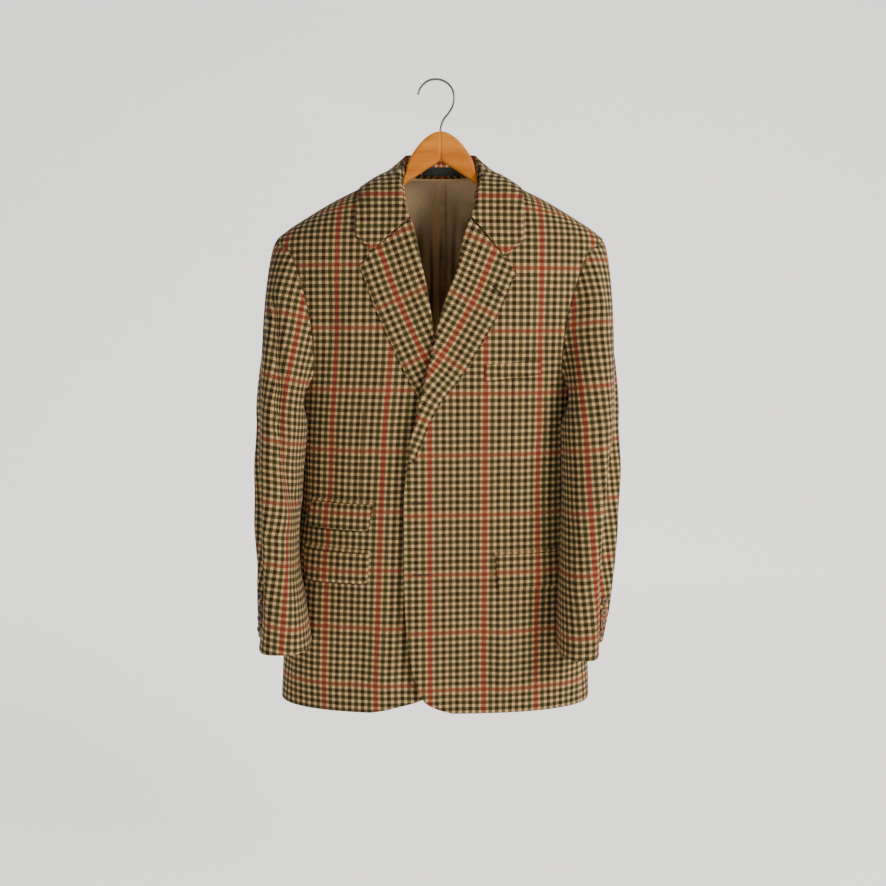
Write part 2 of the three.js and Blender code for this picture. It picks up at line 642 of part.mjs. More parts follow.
function addCollar() {
  const middle = WAYS.map(collarSection);
  const last = middle.length - 1;
  const rows = WAYS.map((_, row) => row);
  addWall("collar", "tweed", TURN_STEPS, rows, (step, row, depth) => {
    const line = middle[row];
    const across = line[Math.min(step + 1, line.length - 1)].clone();
    across.sub(line[Math.max(step - 1, 0)]);
    const along = middle[Math.min(row + 1, last)][step].clone();
    along.sub(middle[Math.max(row - 1, 0)][step]);
    const normal = across.cross(along).normalize();
    return line[step].clone().addScaledVector(normal, COLLAR_WALL * (depth - 0.5));
  });
}

// ---- sleeves ----
const capLean = track(CAP_LEAN, "round", "lean");
const CAP_LEAVE = 0.45; // of the way down the cap, how strongly it keeps each end's direction
const CAP_LAND = 0.75;
const CAP_CLEARS = 0.5; // down the cap, by where it stands its full clearance off the body
const SLEEVE_SEAM = 0.4; // each sleeve panel's own half of a seam gap
const TUBE_ROWS = [1, 1.22, 1.45, 1.67, 1.84, 2];
const CAP_ROWS = [0, 0.07, 0.2, 0.38, 0.58, 0.8];

// The cut edge of the armhole at one round, with the ways out of the cloth and into the hole.
function armholeFrame(side, sign, round) {
  const at = (degrees) => {
    const { turn, z } = armholeAt((degrees + 360) % 360);
    return { turn: sign * turn, z };
  };
  const { turn, z } = at(round);
  const before = at(round - 1);
  const after = at(round + 1);
  const tangent = formPoint(after.turn, after.z).sub(formPoint(before.turn, before.z)).normalize();
  const normal = formNormal(turn, z);
  const inward = normal.clone().cross(tangent).multiplyScalar(sign).normalize();
  return { place: formPoint(turn, z), normal, inward };
}

function sleeveTracks(side) {
  const rows = SLEEVE[side];
  const cuffZ = rows.at(-1).z;
  const capZ = rows[0].z;
  return {
    ...tracks(rows, "z", "x", "y", "inward", "outward", "behind", "deep"),
    height: (along) => mix(capZ, cuffZ, along - 1),
  };
}

// A point of the sleeve's level section, at degrees round from its front outwards. The long fold
// makes the front part narrower outwards than the part behind it.
function sectionPoint(sleeve, sign, along, around) {
  const z = sleeve.height(along);
  const sine = Math.sin(radians(around));
  const cosine = Math.cos(radians(around));
  const y = sleeve.y(z) - sleeve.deep(z) * cosine;
  const shelf = ease((y - sleeve.y(z) - FOLD_BACK.from_y) / (FOLD_BACK.to_y - FOLD_BACK.from_y));
  const outward = mix(sleeve.outward(z), sleeve.behind(z), shelf);
  const reach = sine > 0 ? outward : sleeve.inward(z);
  const square = cosine > 0 ? SECTION_SQUARE.front : SECTION_SQUARE.back;
  const flat = Math.sign(sine) * Math.abs(sine) ** square;
  return new THREE.Vector3(sleeve.x(z) + sign * reach * flat, y, z);
}

// Moves a sleeve's point out past the body's side, where the two lie together.
function clearOfBody(point, sign, clearance) {
  const { z } = point;
  const deep = point.y < 0 ? body.front(z) : body.back(z);
  const share = Math.min(Math.abs(point.y) / (deep + clearance), 1) ** body.square(z);
  const reach = (body.wide(z) + clearance) * (1 - share) ** (1 / body.square(z));
  const side = sign * (point.x - body.centre(z));
  if (side < reach) point.x += sign * (reach - side);
  return point;
}

function sleevePoint(sleeve, side, sign, along, around) {
  if (along >= 1) {
    const place = sectionPoint(sleeve, sign, along, around);
    return clearOfBody(place, sign, SLEEVE_CLEARANCE);
  }
  const round = (450 - around) % 360;
  const { place, normal, inward } = armholeFrame(side, sign, round);
  const end = clearOfBody(sectionPoint(sleeve, sign, 1, around), sign, SLEEVE_CLEARANCE);
  const start = place.addScaledVector(inward, GAP);
  const reach = start.distanceTo(end);
  const lean = radians(capLean(round));
  const leave = inward.multiplyScalar(Math.cos(lean)).addScaledVector(normal, Math.sin(lean));
  leave.multiplyScalar(CAP_LEAVE * reach);
  const land = new THREE.Vector3(0, 0, -CAP_LAND * reach);
  const t = along;
  const point = start.clone().multiplyScalar((1 + 2 * t) * (1 - t) ** 2);
  point.addScaledVector(leave, t * (1 - t) ** 2);
  point.addScaledVector(end, t * t * (3 - 2 * t));
  point.addScaledVector(land, t * t * (t - 1));
  return clearOfBody(point, sign, SLEEVE_CLEARANCE * ease(t / CAP_CLEARS));
}

function sleeveNormal(sleeve, side, sign, along, around) {
  const round = sleevePoint(sleeve, side, sign, along, around + 1);
  round.sub(sleevePoint(sleeve, side, sign, along, around - 1));
  const down = sleevePoint(sleeve, side, sign, Math.min(along + 0.01, 2), around);
  down.sub(sleevePoint(sleeve, side, sign, along - 0.01, around));
  return round.cross(down).multiplyScalar(-sign).normalize();
}

const seams = tracks(SLEEVE_SEAMS, "along", "hind", "fore");

// The degrees round the section of a column that starts at `round` on the armhole.
function sleeveColumn(round, along) {
  const start = (450 - round) % 360 > 270 ? ((450 - round) % 360) - 360 : (450 - round) % 360;
  const top = seams.hind(0);
  const low = seams.fore(0);
  const [from, to] = [seams.hind(along), seams.fore(along)];
  if (start <= top && start >= low) return mix(from, to, (top - start) / (top - low));
  const below = start > top ? start - 360 : start;
  return mix(to, from - 360, (low - below) / (low - top + 360));
}

function addSleevePanel({ side, sign }, name, rounds) {
  const sleeve = sleeveTracks(side);
  const rows = [...CAP_ROWS, ...TUBE_ROWS];
  const columns = rounds.map((_, i) => i);
  const edges = { 0: 1, [rounds.length - 1]: -1 };
  const aroundAt = (column, along) => {
    const around = sleeveColumn(rounds[column], along);
    if (!(column in edges)) return around;
    const near = sleevePoint(sleeve, side, sign, along, around - 0.5);
    const width = near.distanceTo(sleevePoint(sleeve, side, sign, along, around + 0.5));
    return around - (edges[column] * SLEEVE_SEAM) / width;
  };
  addWall(`sleeve_${side}_${name}`, "tweed", columns, rows, (column, along, depth) => {
    const around = aroundAt(column, along);
    const point = sleevePoint(sleeve, side, sign, along, around);
    if (along === 0) {
      const { normal } = armholeFrame(side, sign, rounds[column]);
      return point.addScaledVector(normal, -WALL * depth);
    }
    const normal = sleeveNormal(sleeve, side, sign, along, around);
    return point.addScaledVector(normal, -WALL * depth);
  });
}

function addSleeve(which) {
  const frontDown = FRONT_ROUNDS;
  const top = [...BACK_ROUNDS.filter((round) => round >= HIND_ROUND), ...frontDown.slice(1)];
  const under = [...SIDE_ROUNDS, ...BACK_ROUNDS.filter((round) => round <= HIND_ROUND).slice(1)];
  addSleevePanel(which, "top", top);
  addSleevePanel(which, "under", under);
}

// ---- pockets ----
// The face of a piece on a front, at u across and v down, with its lower corners rounded.
function pocketPath({ top, foot }, radius) {
  const edge = ([from, to], u) => new THREE.Vector2(...from).lerp(new THREE.Vector2(...to), u);
  const width = edge(foot, 0).distanceTo(edge(foot, 1));
  return (u, v) => {
    const near = Math.max(radius - width * Math.min(u, 1 - u), 0);
    const raised = new THREE.Vector2(0, radius - Math.sqrt(radius ** 2 - near ** 2));
    return edge(top, u).lerp(edge(foot, u).add(raised), v);
  };
}

function addLaid(name, side, across, wall, path) {
  addWall(name, "tweed", across, span(2), (u, v, depth) => {
    const { x, y: z } = path(u, v);
    return frontByX(side, x, z, LAY_GAP + wall * (1 - depth));
  });
}

function addFlap([name, flap]) {
  addLaid(`flap_${name}`, flap.side, FLAP_ACROSS, FLAP_WALL, pocketPath(flap, FLAP_CORNER));
  const top = pocketPath(flap, 0);
  const jet = (u, v) => top(u, 0).add(new THREE.Vector2(0, GAP + JET.high * (1 - v)));
  addLaid(`jet_${name}`, flap.side, span(6), JET.wall, jet);
}

// ---- solids through rings ----
// A closed body through rings of as many points each, with flat ends.
function ringGeometry(rings) {
  const round = rings[0].length;
  const last = (rings.length - 1) * round;
  const faces = [];
  for (let row = 0; row < last; row += round)
    for (let i = 0; i < round; i++) {
      const a = row + i;
      const b = row + ((i + 1) % round);
      faces.push([a, b, b + round], [a, b + round, a + round]);
    }
  for (let i = 1; i + 1 < round; i++) faces.push([0, i + 1, i], [last, last + i, last + i + 1]);
  return solidGeometry(rings.flat(), faces);
}

const ring = (count, point) =>
  span(count).slice(1).map((share) => point(Math.cos(share * 2 * Math.PI), Math.sin(share * 2 * Math.PI)));

// ---- buttons ----
const FACE_REACH = 10; // how far outside a face the search for it starts

function addButton(name, place, normal, { radius, high, rise }) {
  const turned = new THREE.Quaternion().setFromUnitVectors(new THREE.Vector3(0, 0, 1), normal);
  const rings = BUTTON_RINGS.map(({ wide, up }) =>
    ring(16, (cosine, sine) => {
      const point = new THREE.Vector3(cosine * radius * wide, sine * radius * wide, rise + high * up);
      return point.applyQuaternion(turned).add(place);
    }),
  );
  addMesh(name, ringGeometry(rings), "horn");
}

// The place and the way out of a built piece's face, in line with a point near it.
function faceUnder(name, near, out) {
  const piece = meshes.find((mesh) => mesh.name === name);
  const from = near.clone().addScaledVector(out, FACE_REACH);
  const [hit] = new THREE.Raycaster(from, out.clone().negate()).intersectObject(piece);
  return { place: hit.point, normal: hit.face.normal };
}

function addCuffButtons({ side, sign }) {
  const sleeve = sleeveTracks(side);
  const capZ = sleeve.height(1);
  const cuffZ = sleeve.height(2);
  for (let i = 0; i < CUFF_BUTTONS; i++) {
    const z = cuffZ + CUFF_BUTTON.first - CUFF_BUTTON.pitch * i;
    const along = 1 + (z - capZ) / (cuffZ - capZ);
    const near = sleevePoint(sleeve, side, sign, along, CUFF_BUTTON.around);
    const out = sleeveNormal(sleeve, side, sign, along, CUFF_BUTTON.around);
    const { place, normal } = faceUnder(`sleeve_${side}_top`, near, out);
    addButton(`cuff_button_${side}_${i + 1}`, place, normal, CUFF_BUTTON);
  }
}

function addFrontButton(z, i) {
  const { x } = FRONT_BUTTON;
  addButton(`front_button_${i + 1}`, frontByX("right", x, z, 0), formNormal(turnAt(x, z), z), FRONT_BUTTON);
}

// ---- lining and label ----
// Half of the back's lining. The wearer's right half laps over the left one at the centre pleat.
function addLining({ side, sign }) {
  const laps = side === "right";
  const rails = [...SEAM_ROWS, ...BACK_ARMHOLE_ROWS, ...NECK_ROWS.slice(1, -1), LINING.top_rail];
  const across = [...LINING_COLUMNS];
  if (laps) across.unshift(-1);
  addWall(`lining_back_${side}`, "lining", across, rails, (u, rail, depth) => {
    const outer = backOuterEdge(rail);
    const z = mix(backInnerZ(rail), outer.z, Math.max(u, 0)) + LINING.hem * Math.max(1 - rail, 0);
    const from = u < 0 ? 180 + turnFor(LINING.pleat, 180, z) : 180 - turnFor(SEAM, 180, z);
    const lapped = laps && u <= 0 ? LINING_WALL + 2 * GAP : 0;
    const inside = WALL + LINING.gap + lapped + LINING_WALL * depth;
    return bodyPoint(sign * mix(from, outer.turn, Math.max(u, 0)), z, -inside);
  });
}

function addLabel() {
  const ways = WAYS.filter((way) => way > LABEL.from_way && way < LABEL.to_way);
  addWall("neck_label", "label", ways, [LABEL.low, LABEL.high], (way, high, depth) => {
    const [foot, upper] = collarSection(way);
    const near = collarSection(way + 0.01)[0].sub(collarSection(way - 0.01)[0]);
    const normal = upper.clone().sub(foot).cross(near).normalize();
    const inside = COLLAR_WALL / 2 + GAP + LABEL.wall * depth;
    return foot.lerp(upper, high / STAND_BEND).addScaledVector(normal, inside);
  });
}

// ---- hanger ----
const arm = tracks(ARM, "out", "top", "foot", "deep");

function manifoldOf(geometry) {
  return new wasm.Manifold(
    new wasm.Mesh({
      numProp: 3,
      vertProperties: geometry.attributes.position.array,
      triVerts: new Uint32Array(geometry.index.array),
    }),
  );
}

function geometryOf(manifold) {
  const { vertProperties, triVerts } = manifold.getMesh();
  const geometry = new THREE.BufferGeometry();
  geometry.setAttribute("position", new THREE.BufferAttribute(vertProperties, 3));
  geometry.setIndex(new THREE.BufferAttribute(triVerts, 1));
  geometry.computeVertexNormals();
  return geometry;
}

const rounded = (part) => Math.sign(part) * Math.abs(part) ** ARM_SQUARE;

function addArm({ side, sign }) {
  const outs = ARM.flatMap(({ out }, i) => (i + 1 < ARM.length ? [out, (out + ARM[i + 1].out) / 2] : [out]));
  const rings = outs.map((out) =>
    ring(16, (cosine, sine) => {
      const middle = (arm.top(out) + arm.foot(out)) / 2;
      const half = (arm.top(out) - arm.foot(out)) / 2;
      const x = ARM_MIDDLE + sign * out;
      return new THREE.Vector3(x, arm.deep(out) * rounded(cosine), middle + half * rounded(sine));
    }),
  );
  const socket = [SHANK.foot_z - GAP, arm.top(0) + 1].map((z) =>
    ring(16, (cosine, sine) => {
      const reach = WIRE / 2 + GAP;
      return new THREE.Vector3(SHANK.x + reach * cosine, reach * sine, z);
    }),
  );
  const cut = manifoldOf(ringGeometry(rings)).subtract(manifoldOf(ringGeometry(socket)));
  addMesh(`hanger_arm_${side}`, geometryOf(cut), "wood");
}

function addHook() {
  const line = new THREE.CatmullRomCurve3(HOOK.map(([x, z]) => new THREE.Vector3(x, 0, z)));
  const rings = span(48).map((share) => {
    const middle = line.getPointAt(share);
    const along = line.getTangentAt(share);
    return ring(10, (cosine, sine) => {
      const reach = WIRE / 2;
      const point = new THREE.Vector3(along.z * reach * cosine, reach * sine, -along.x * reach * cosine);
      return point.add(middle);
    });
  });
  addMesh("hanger_hook", ringGeometry(rings), "steel");
}

SIDES.forEach(addFront);
SIDES.forEach(addSide);
SIDES.forEach(addBack);
SIDES.forEach(addLapel);
addCollar();
SIDES.forEach(addSleeve);
Object.entries(FLAPS).forEach(addFlap);
addLaid("breast_welt", "left", span(6), WELT.wall, pocketPath(WELT, 0));
SIDES.forEach(addCuffButtons);
FRONT_BUTTON_Z.forEach(addFrontButton);
SIDES.forEach(addLining);
addLabel();
SIDES.forEach(addArm);
addHook();

const coat = new THREE.Group();
coat.name = "sport_coat_on_hanger";
coat.add(...meshes);

export default coat;
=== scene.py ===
# %% [markdown]
# # A checked sport coat on a wooden hanger
# This notebook dresses a finished CAD frame. The frame gives every piece of the coat its place,
# and each cell below makes one piece of cloth, horn, wood or wire in its true shape and gives it
# its finish. The origin is the inside of the hanger's hook, +Z is up, -Y is the front and +X is
# the wearer's left.

# %% Load the frame
import json
import math

import bpy
import numpy as np
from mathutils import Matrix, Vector

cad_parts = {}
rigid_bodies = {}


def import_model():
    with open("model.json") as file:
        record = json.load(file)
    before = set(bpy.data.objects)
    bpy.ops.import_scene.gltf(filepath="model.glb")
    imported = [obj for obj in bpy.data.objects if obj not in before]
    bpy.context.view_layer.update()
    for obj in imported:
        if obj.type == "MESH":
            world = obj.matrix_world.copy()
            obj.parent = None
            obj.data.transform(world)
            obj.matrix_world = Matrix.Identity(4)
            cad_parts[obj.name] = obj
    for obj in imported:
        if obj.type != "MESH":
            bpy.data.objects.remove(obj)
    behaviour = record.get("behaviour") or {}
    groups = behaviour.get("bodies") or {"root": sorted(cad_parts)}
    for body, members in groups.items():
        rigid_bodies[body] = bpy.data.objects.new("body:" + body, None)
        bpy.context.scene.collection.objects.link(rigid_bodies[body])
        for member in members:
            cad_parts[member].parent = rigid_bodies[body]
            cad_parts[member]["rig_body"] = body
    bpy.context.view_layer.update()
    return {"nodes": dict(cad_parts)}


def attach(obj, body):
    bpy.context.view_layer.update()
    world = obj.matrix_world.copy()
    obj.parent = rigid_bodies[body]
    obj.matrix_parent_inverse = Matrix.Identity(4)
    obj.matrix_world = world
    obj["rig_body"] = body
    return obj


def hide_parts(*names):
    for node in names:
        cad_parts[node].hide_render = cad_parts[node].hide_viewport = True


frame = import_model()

# %% [markdown]
# ## Camera, floor and light
# A hanging coat is looked at from a little above its middle, from about a metre and a half. The
# light is one large soft panel, high on the wearer's left, with a pale room all round it. A
# picture of a room could light it too, but area lamps and a plain world need no file, and their
# shadows are easy to place. The floor and the backdrop are stage pieces, not parts of the coat.

# %% Camera
CAMERA_PLACE = (0.009, -1.43, -0.355)
CAMERA_DOWN = 8  # degrees below the horizon
CAMERA_LENS = 36.57

camera = bpy.data.objects.new("camera", bpy.data.cameras.new("camera"))
camera.location = CAMERA_PLACE
camera.rotation_euler = (math.radians(90 - CAMERA_DOWN), 0, 0)
camera.data.lens = CAMERA_LENS
camera.data.sensor_width = 36
bpy.context.scene.collection.objects.link(camera)
bpy.context.scene.camera = camera

# %% Floor, light and the pale room
FLOOR_Z = -1.555
WALL_Y = 2.6
ROOM_GLOW = 0.95
LIGHTS = [
    # name, place, size, watts, colour
    ("key", (1.9, -1.6, 0.5), 1.0, 80, (1.0, 0.97, 0.93)),
    ("fill", (-1.6, -1.9, 0.1), 2.2, 5, (0.93, 0.96, 1.0)),
    ("back", (0.3, 2.3, 0.9), 2.0, 16, (1.0, 0.98, 0.96)),
]
ROOM_COLOUR = (0.80, 0.795, 0.785)
ROOM_LIGHT = 0.09
AIM = Vector((0, 0, -0.5))


def plain_material(name, colour, roughness):
    material = bpy.data.materials.new(name)
    material.use_nodes = True
    shader = material.node_tree.nodes["Principled BSDF"]
    shader.inputs["Base Color"].default_value = (*colour, 1)
    shader.inputs["Roughness"].default_value = roughness
    return material


pale = plain_material("pale_room", (0.78, 0.77, 0.75), 0.8)
pale.node_tree.nodes["Principled BSDF"].inputs["Emission Color"].default_value = (1.0, 0.985, 0.96, 1)
pale.node_tree.nodes["Principled BSDF"].inputs["Emission Strength"].default_value = ROOM_GLOW
bpy.ops.mesh.primitive_plane_add(size=14, location=(0, 0, FLOOR_Z))
floor = bpy.context.object
floor.name = "floor"
bpy.ops.mesh.primitive_plane_add(size=14, location=(0, WALL_Y, 0), rotation=(math.radians(90), 0, 0))
backdrop = bpy.context.object
backdrop.name = "backdrop"
for plane in (floor, backdrop):
    plane.data.materials.append(pale)

for name, place, size, watts, colour in LIGHTS:
    lamp = bpy.data.lights.new(name, "AREA")
    lamp.size = size
    lamp.energy = watts
    lamp.color = colour
    panel = bpy.data.objects.new(name, lamp)
    panel.location = place
    panel.rotation_euler = (AIM - Vector(place)).to_track_quat("-Z", "Y").to_euler()
    bpy.context.scene.collection.objects.link(panel)

room = bpy.data.worlds.new("room")
room.use_nodes = True
room.node_tree.nodes["Background"].inputs["Color"].default_value = (*ROOM_COLOUR, 1)
room.node_tree.nodes["Background"].inputs["Strength"].default_value = ROOM_LIGHT
bpy.context.scene.world = room
print("camera", CAMERA_PLACE, "floor", FLOOR_Z)

# %% [markdown] ## Finishes Every finish is worked out from the cloth's own flat place, in metres
# across and along the warp, or from the place in the object. An image texture could draw it, but
# worked-out stripes stay sharp close up, run on from one piece to the next at the seams, and let
# the yarns cross as they do in a real twill.

# %% A helper for shader nodes
class Graph:
    """Adds nodes to a material, and takes a number or another node's socket as each input."""

    def __init__(self, name):
        self.material = bpy.data.materials.new(name)
        self.material.use_nodes = True
        self.tree = self.material.node_tree
        self.shader = self.tree.nodes["Principled BSDF"]

    def put(self, socket, value):
        if isinstance(value, bpy.types.NodeSocket):
            self.tree.links.new(value, socket)
        else:
            socket.default_value = value

    def add(self, kind, output=0, inputs=None, **settings):
        node = self.tree.nodes.new(kind)
        for key, value in settings.items():
            setattr(node, key, value)
        for key, value in (inputs or {}).items():
            self.put(node.inputs[key], value)
        return node.outputs[output]

    def math(self, operation, *values):
        return self.add("ShaderNodeMath", inputs=dict(enumerate(values)), operation=operation)

    def mix(self, share, a, b):
        a, b = ((*colour, 1) if isinstance(colour, tuple) else colour for colour in (a, b))
        return self.add("ShaderNodeMix", output=2, inputs={0: share, 6: a, 7: b}, data_type="RGBA")

    def shaded(self, colour, shade):
        """A colour times a number."""
        scale = self.add("ShaderNodeCombineXYZ", inputs={0: shade, 1: shade, 2: shade})
        return self.add("ShaderNodeVectorMath", operation="MULTIPLY", inputs={0: colour, 1: scale})

    def noise(self, vector, scale, detail=2.0, output=0):
        inputs = {"Vector": vector, "Scale": scale, "Detail": detail}
        return self.add("ShaderNodeTexNoise", output=output, inputs=inputs)

    def ramp(self, value, low, high, to_low=0.0, to_high=1.0):
        inputs = {0: value, 1: low, 2: high, 3: to_low, 4: to_high}
        return self.add("ShaderNodeMapRange", inputs=inputs)

    def finish(self, **inputs):
        for key, value in inputs.items():
            value = (*value, 1) if isinstance(value, tuple) else value
            self.put(self.shader.inputs[key.replace("_", " ")], value)
        return self.material

    def bump(self, height, distance, strength=1.0):
        inputs = {"Height": height, "Distance": distance, "Strength": strength}
        return self.add("ShaderNodeBump", inputs=inputs)


print("shader helper:", [name for name in vars(Graph) if not name.startswith("_")])

# %% The tweed
WARP_PITCH = 0.0105
WEFT_PITCH = 0.01035
RED_WARP_EVERY = 8
RED_WEFT_EVERY = 9
STRIPE = 0.57  # of the pitch
STRIPE_BLUR = 0.03  # of the pitch, at each edge of a stripe
RED_WIDER = 0.16  # of the pitch, for the warp's red stripe
YARN = 0.00105
WANDER = 0.0011  # how far the stripes stray
FACE_SHARES = (0.28, 0.46)  # of warp on the face: under a weft yarn, and how much more over it
FACE_MOST = 0.92
# Half the width, in metres, and the darkness of the painted shade along a sewn seam.
SEAM_HALF = 0.0009
SEAM_PAINTED_SHADE = 0.7
CROSSED = 0.5  # how bright a tan and a dark yarn look where they cross
RED_GLOW = 0.6  # how much less a red warp yarn is darkened where it crosses tan
RED_FACED = 0.3  # how much more of a red warp yarn lies on the face
YARNS = {
    "tan": (0.60, 0.395, 0.175),
    "green": (0.028, 0.035, 0.009),
    "brown": (0.013, 0.008, 0.005),
    "red": (0.29, 0.036, 0.022),
    "olive": (0.022, 0.021, 0.007),
}


def striped(graph, place, pitch, every, wider):
    """The share of dark stripe at a place, the stripe's number, and whether it is the red one,
    which is `wider` by this share of the pitch."""
    phase = graph.math("ADD", graph.math("DIVIDE", place, pitch), 0.5)
    off = graph.math("ABSOLUTE", graph.math("SUBTRACT", graph.math("FRACT", phase), 0.5))
    number = graph.math("FLOOR", phase)
    red = graph.math("LESS_THAN", graph.math("FLOORED_MODULO", number, every), 0.5)
    narrowed = graph.math("SUBTRACT", off, graph.math("MULTIPLY", red, wider / 2))
    dark = graph.ramp(narrowed, STRIPE / 2 + STRIPE_BLUR, STRIPE / 2 - STRIPE_BLUR)
    return dark, number, red


def tweed_material(name, lines=()):
    """The check. Each of `lines` is a seam sewn into the cloth: its u, and the v it runs between.
    Along each, a thin line of painted shade stands in for the shade in the seam's fold.
    """
    graph = Graph(name)
    cut = graph.add("ShaderNodeUVMap", uv_map="cut")
    uneven = graph.noise(cut, 90.0, output=1)
    shift = graph.add("ShaderNodeVectorMath", operation="SUBTRACT", inputs={0: uneven, 1: (0.5, 0.5, 0.5)})
    scaled = graph.add("ShaderNodeVectorMath", operation="SCALE", inputs={0: shift, "Scale": WANDER})
    place = graph.add("ShaderNodeVectorMath", operation="ADD", inputs={0: cut, 1: scaled})
    split = graph.add("ShaderNodeSeparateXYZ", inputs={0: place}).node
    u, v = split.outputs[0], split.outputs[1]

    dark_warp, number, red = striped(graph, u, WARP_PITCH, RED_WARP_EVERY, RED_WIDER)
    red_warp = graph.math("MULTIPLY", dark_warp, red)
    plain_warp = graph.math("SUBTRACT", dark_warp, graph.math("MULTIPLY", red_warp, RED_GLOW))
    odd = graph.math("FLOORED_MODULO", number, 2)
    stripe = graph.mix(red, graph.mix(odd, YARNS["brown"], YARNS["green"]), YARNS["red"])
    warp = graph.mix(dark_warp, YARNS["tan"], stripe)
    dark_weft, _, red = striped(graph, v, WEFT_PITCH, RED_WEFT_EVERY, 0.0)
    weft = graph.mix(dark_weft, YARNS["tan"], graph.mix(red, YARNS["olive"], YARNS["red"]))

    yarn_u = graph.math("DIVIDE", u, YARN)
    yarn_v = graph.math("DIVIDE", v, YARN)
    step = graph.math("ADD", graph.math("FLOOR", yarn_u), graph.math("FLOOR", yarn_v))
    over = graph.math("LESS_THAN", graph.math("FLOORED_MODULO", step, 4), 1.5)
    share = graph.math("ADD", FACE_SHARES[0], graph.math("MULTIPLY", over, FACE_SHARES[1]))
    share = graph.math("ADD", share, graph.math("MULTIPLY", red_warp, RED_FACED))
    share = graph.math("MINIMUM", share, FACE_MOST)
    woven = graph.mix(share, weft, warp)
    crossed = graph.math("ABSOLUTE", graph.math("SUBTRACT", plain_warp, dark_weft))

    fibre = graph.noise(cut, 1400.0, detail=3.0)
    worn = graph.noise(cut, 14.0)
    fuzz = graph.ramp(fibre, 0.25, 0.75, 0.62, 1.38)
    shade = graph.math("MULTIPLY", fuzz, graph.ramp(worn, 0.3, 0.7, 0.95, 1.05))
    shade = graph.math("MULTIPLY", shade, graph.ramp(crossed, 0.0, 1.0, 1.0, CROSSED))
    # Painted shade: a thin darker line along each seam, for the shade in its fold.
    for line_u, low, high in lines:
        near = graph.math("COMPARE", u, line_u, SEAM_HALF)
        above = graph.math("GREATER_THAN", v, low)
        below = graph.math("LESS_THAN", v, high)
        seam = graph.math("MULTIPLY", near, graph.math("MULTIPLY", above, below))
        valley = graph.math("SUBTRACT", 1.0, graph.math("MULTIPLY", seam, SEAM_PAINTED_SHADE))
        shade = graph.math("MULTIPLY", shade, valley)

    rib_u = graph.math("SINE", graph.math("MULTIPLY", yarn_u, 2 * math.pi))
    rib_v = graph.math("SINE", graph.math("MULTIPLY", yarn_v, 2 * math.pi))
    ribs = graph.mix(over, rib_u, rib_v)
    height = graph.math("ADD", graph.math("MULTIPLY", ribs, 0.35), fibre)
    normal = graph.bump(height, 0.0003, 0.55)
    return graph.finish(
        Base_Color=graph.shaded(woven, shade), Roughness=0.95, Specular_IOR_Level=0.12,
        Normal=normal, Sheen_Weight=0.05, Sheen_Roughness=0.5,
    )


tweed = tweed_material("tweed")
print("red stripes:", RED_WARP_EVERY * WARP_PITCH, "m apart, red wefts:", RED_WEFT_EVERY * WEFT_PITCH, "m")

# %% Lining, label, thread, horn, wood and steel
def lining_material(name, painted_fold_light=False):
    """Satin. If asked, light and shade are painted on it: lighter where its surface faces the
    wearer's right, darker where it faces his left, which shows most on the sides of its folds.
    """
    graph = Graph(name)
    cut = graph.add("ShaderNodeUVMap", uv_map="cut")
    long = graph.add("ShaderNodeMapping", inputs={0: cut, "Scale": (1800.0, 90.0, 1.0)})
    thread = graph.noise(long, 1.0)
    cloud = graph.noise(cut, 11.0)
    colour = graph.mix(graph.ramp(thread, 0.3, 0.7), (0.44, 0.305, 0.14), (0.60, 0.42, 0.20))
    colour = graph.mix(graph.ramp(cloud, 0.3, 0.7, 0.0, 0.25), colour, (0.68, 0.50, 0.27))
    if painted_fold_light:
        # Painted light and shade: the colour is scaled by the way the surface faces, not by the lamps.
        facing = graph.add("ShaderNodeTexCoord", output=1)
        leaning = graph.add("ShaderNodeSeparateXYZ", inputs={0: facing})
        fold_light_and_shade = graph.ramp(leaning, -0.45, 0.6, 1.3, 0.28)
        colour = graph.shaded(colour, fold_light_and_shade)
    return graph.finish(
        Base_Color=colour, Roughness=0.42, Specular_IOR_Level=0.5, Sheen_Weight=0.1,
        Anisotropic=0.5, Normal=graph.bump(thread, 0.0001, 0.5),
    )


def wood_material():
    graph = Graph("hanger_wood")
    place = graph.add("ShaderNodeTexCoord", output=3)
    long = graph.add("ShaderNodeMapping", inputs={0: place, "Scale": (7.0, 60.0, 90.0)})
    wave = graph.noise(long, 1.0, detail=4.0)
    short = graph.add("ShaderNodeMapping", inputs={0: place, "Scale": (60.0, 700.0, 900.0)})
    fine = graph.noise(short, 1.0)
    grain = graph.math("ADD", graph.math("MULTIPLY", wave, 0.75), graph.math("MULTIPLY", fine, 0.25))
    colour = graph.mix(graph.ramp(grain, 0.36, 0.64), (0.52, 0.14, 0.010), (0.72, 0.25, 0.020))
    return graph.finish(
        Base_Color=colour, Roughness=graph.ramp(grain, 0.3, 0.7, 0.5, 0.6), Specular_IOR_Level=0.2,
        Coat_Weight=0.04, Coat_Roughness=0.15, Normal=graph.bump(fine, 0.0002, 0.25),
    )


def horn_material():
    graph = Graph("button_horn")
    place = graph.add("ShaderNodeTexCoord", output=3)
    cloud = graph.noise(place, 170.0, detail=3.0)
    colour = graph.mix(graph.ramp(cloud, 0.35, 0.65), (0.035, 0.018, 0.010), (0.27, 0.135, 0.060))
    return graph.finish(Base_Color=colour, Roughness=0.28, Specular_IOR_Level=0.6)


def steel_material():
    graph = Graph("hook_steel")
    place = graph.add("ShaderNodeTexCoord", output=3)
    drawn = graph.noise(place, 900.0)
    colour = graph.mix(drawn, (0.16, 0.15, 0.145), (0.26, 0.25, 0.245))
    rough = graph.ramp(drawn, 0.3, 0.7, 0.26, 0.42)
    normal = graph.bump(drawn, 0.0001, 0.3)
    return graph.finish(Base_Color=colour, Roughness=rough, Metallic=1.0, Normal=normal)


def thread_material(name, colour):
    graph = Graph(name)
    place = graph.add("ShaderNodeTexCoord", output=3)
    twist = graph.noise(place, 2600.0)
    shaded = graph.mix(graph.ramp(twist, 0.3, 0.7), tuple(c * 0.6 for c in colour), colour)
    return graph.finish(Base_Color=shaded, Roughness=0.75, Normal=graph.bump(twist, 0.0003, 0.6))


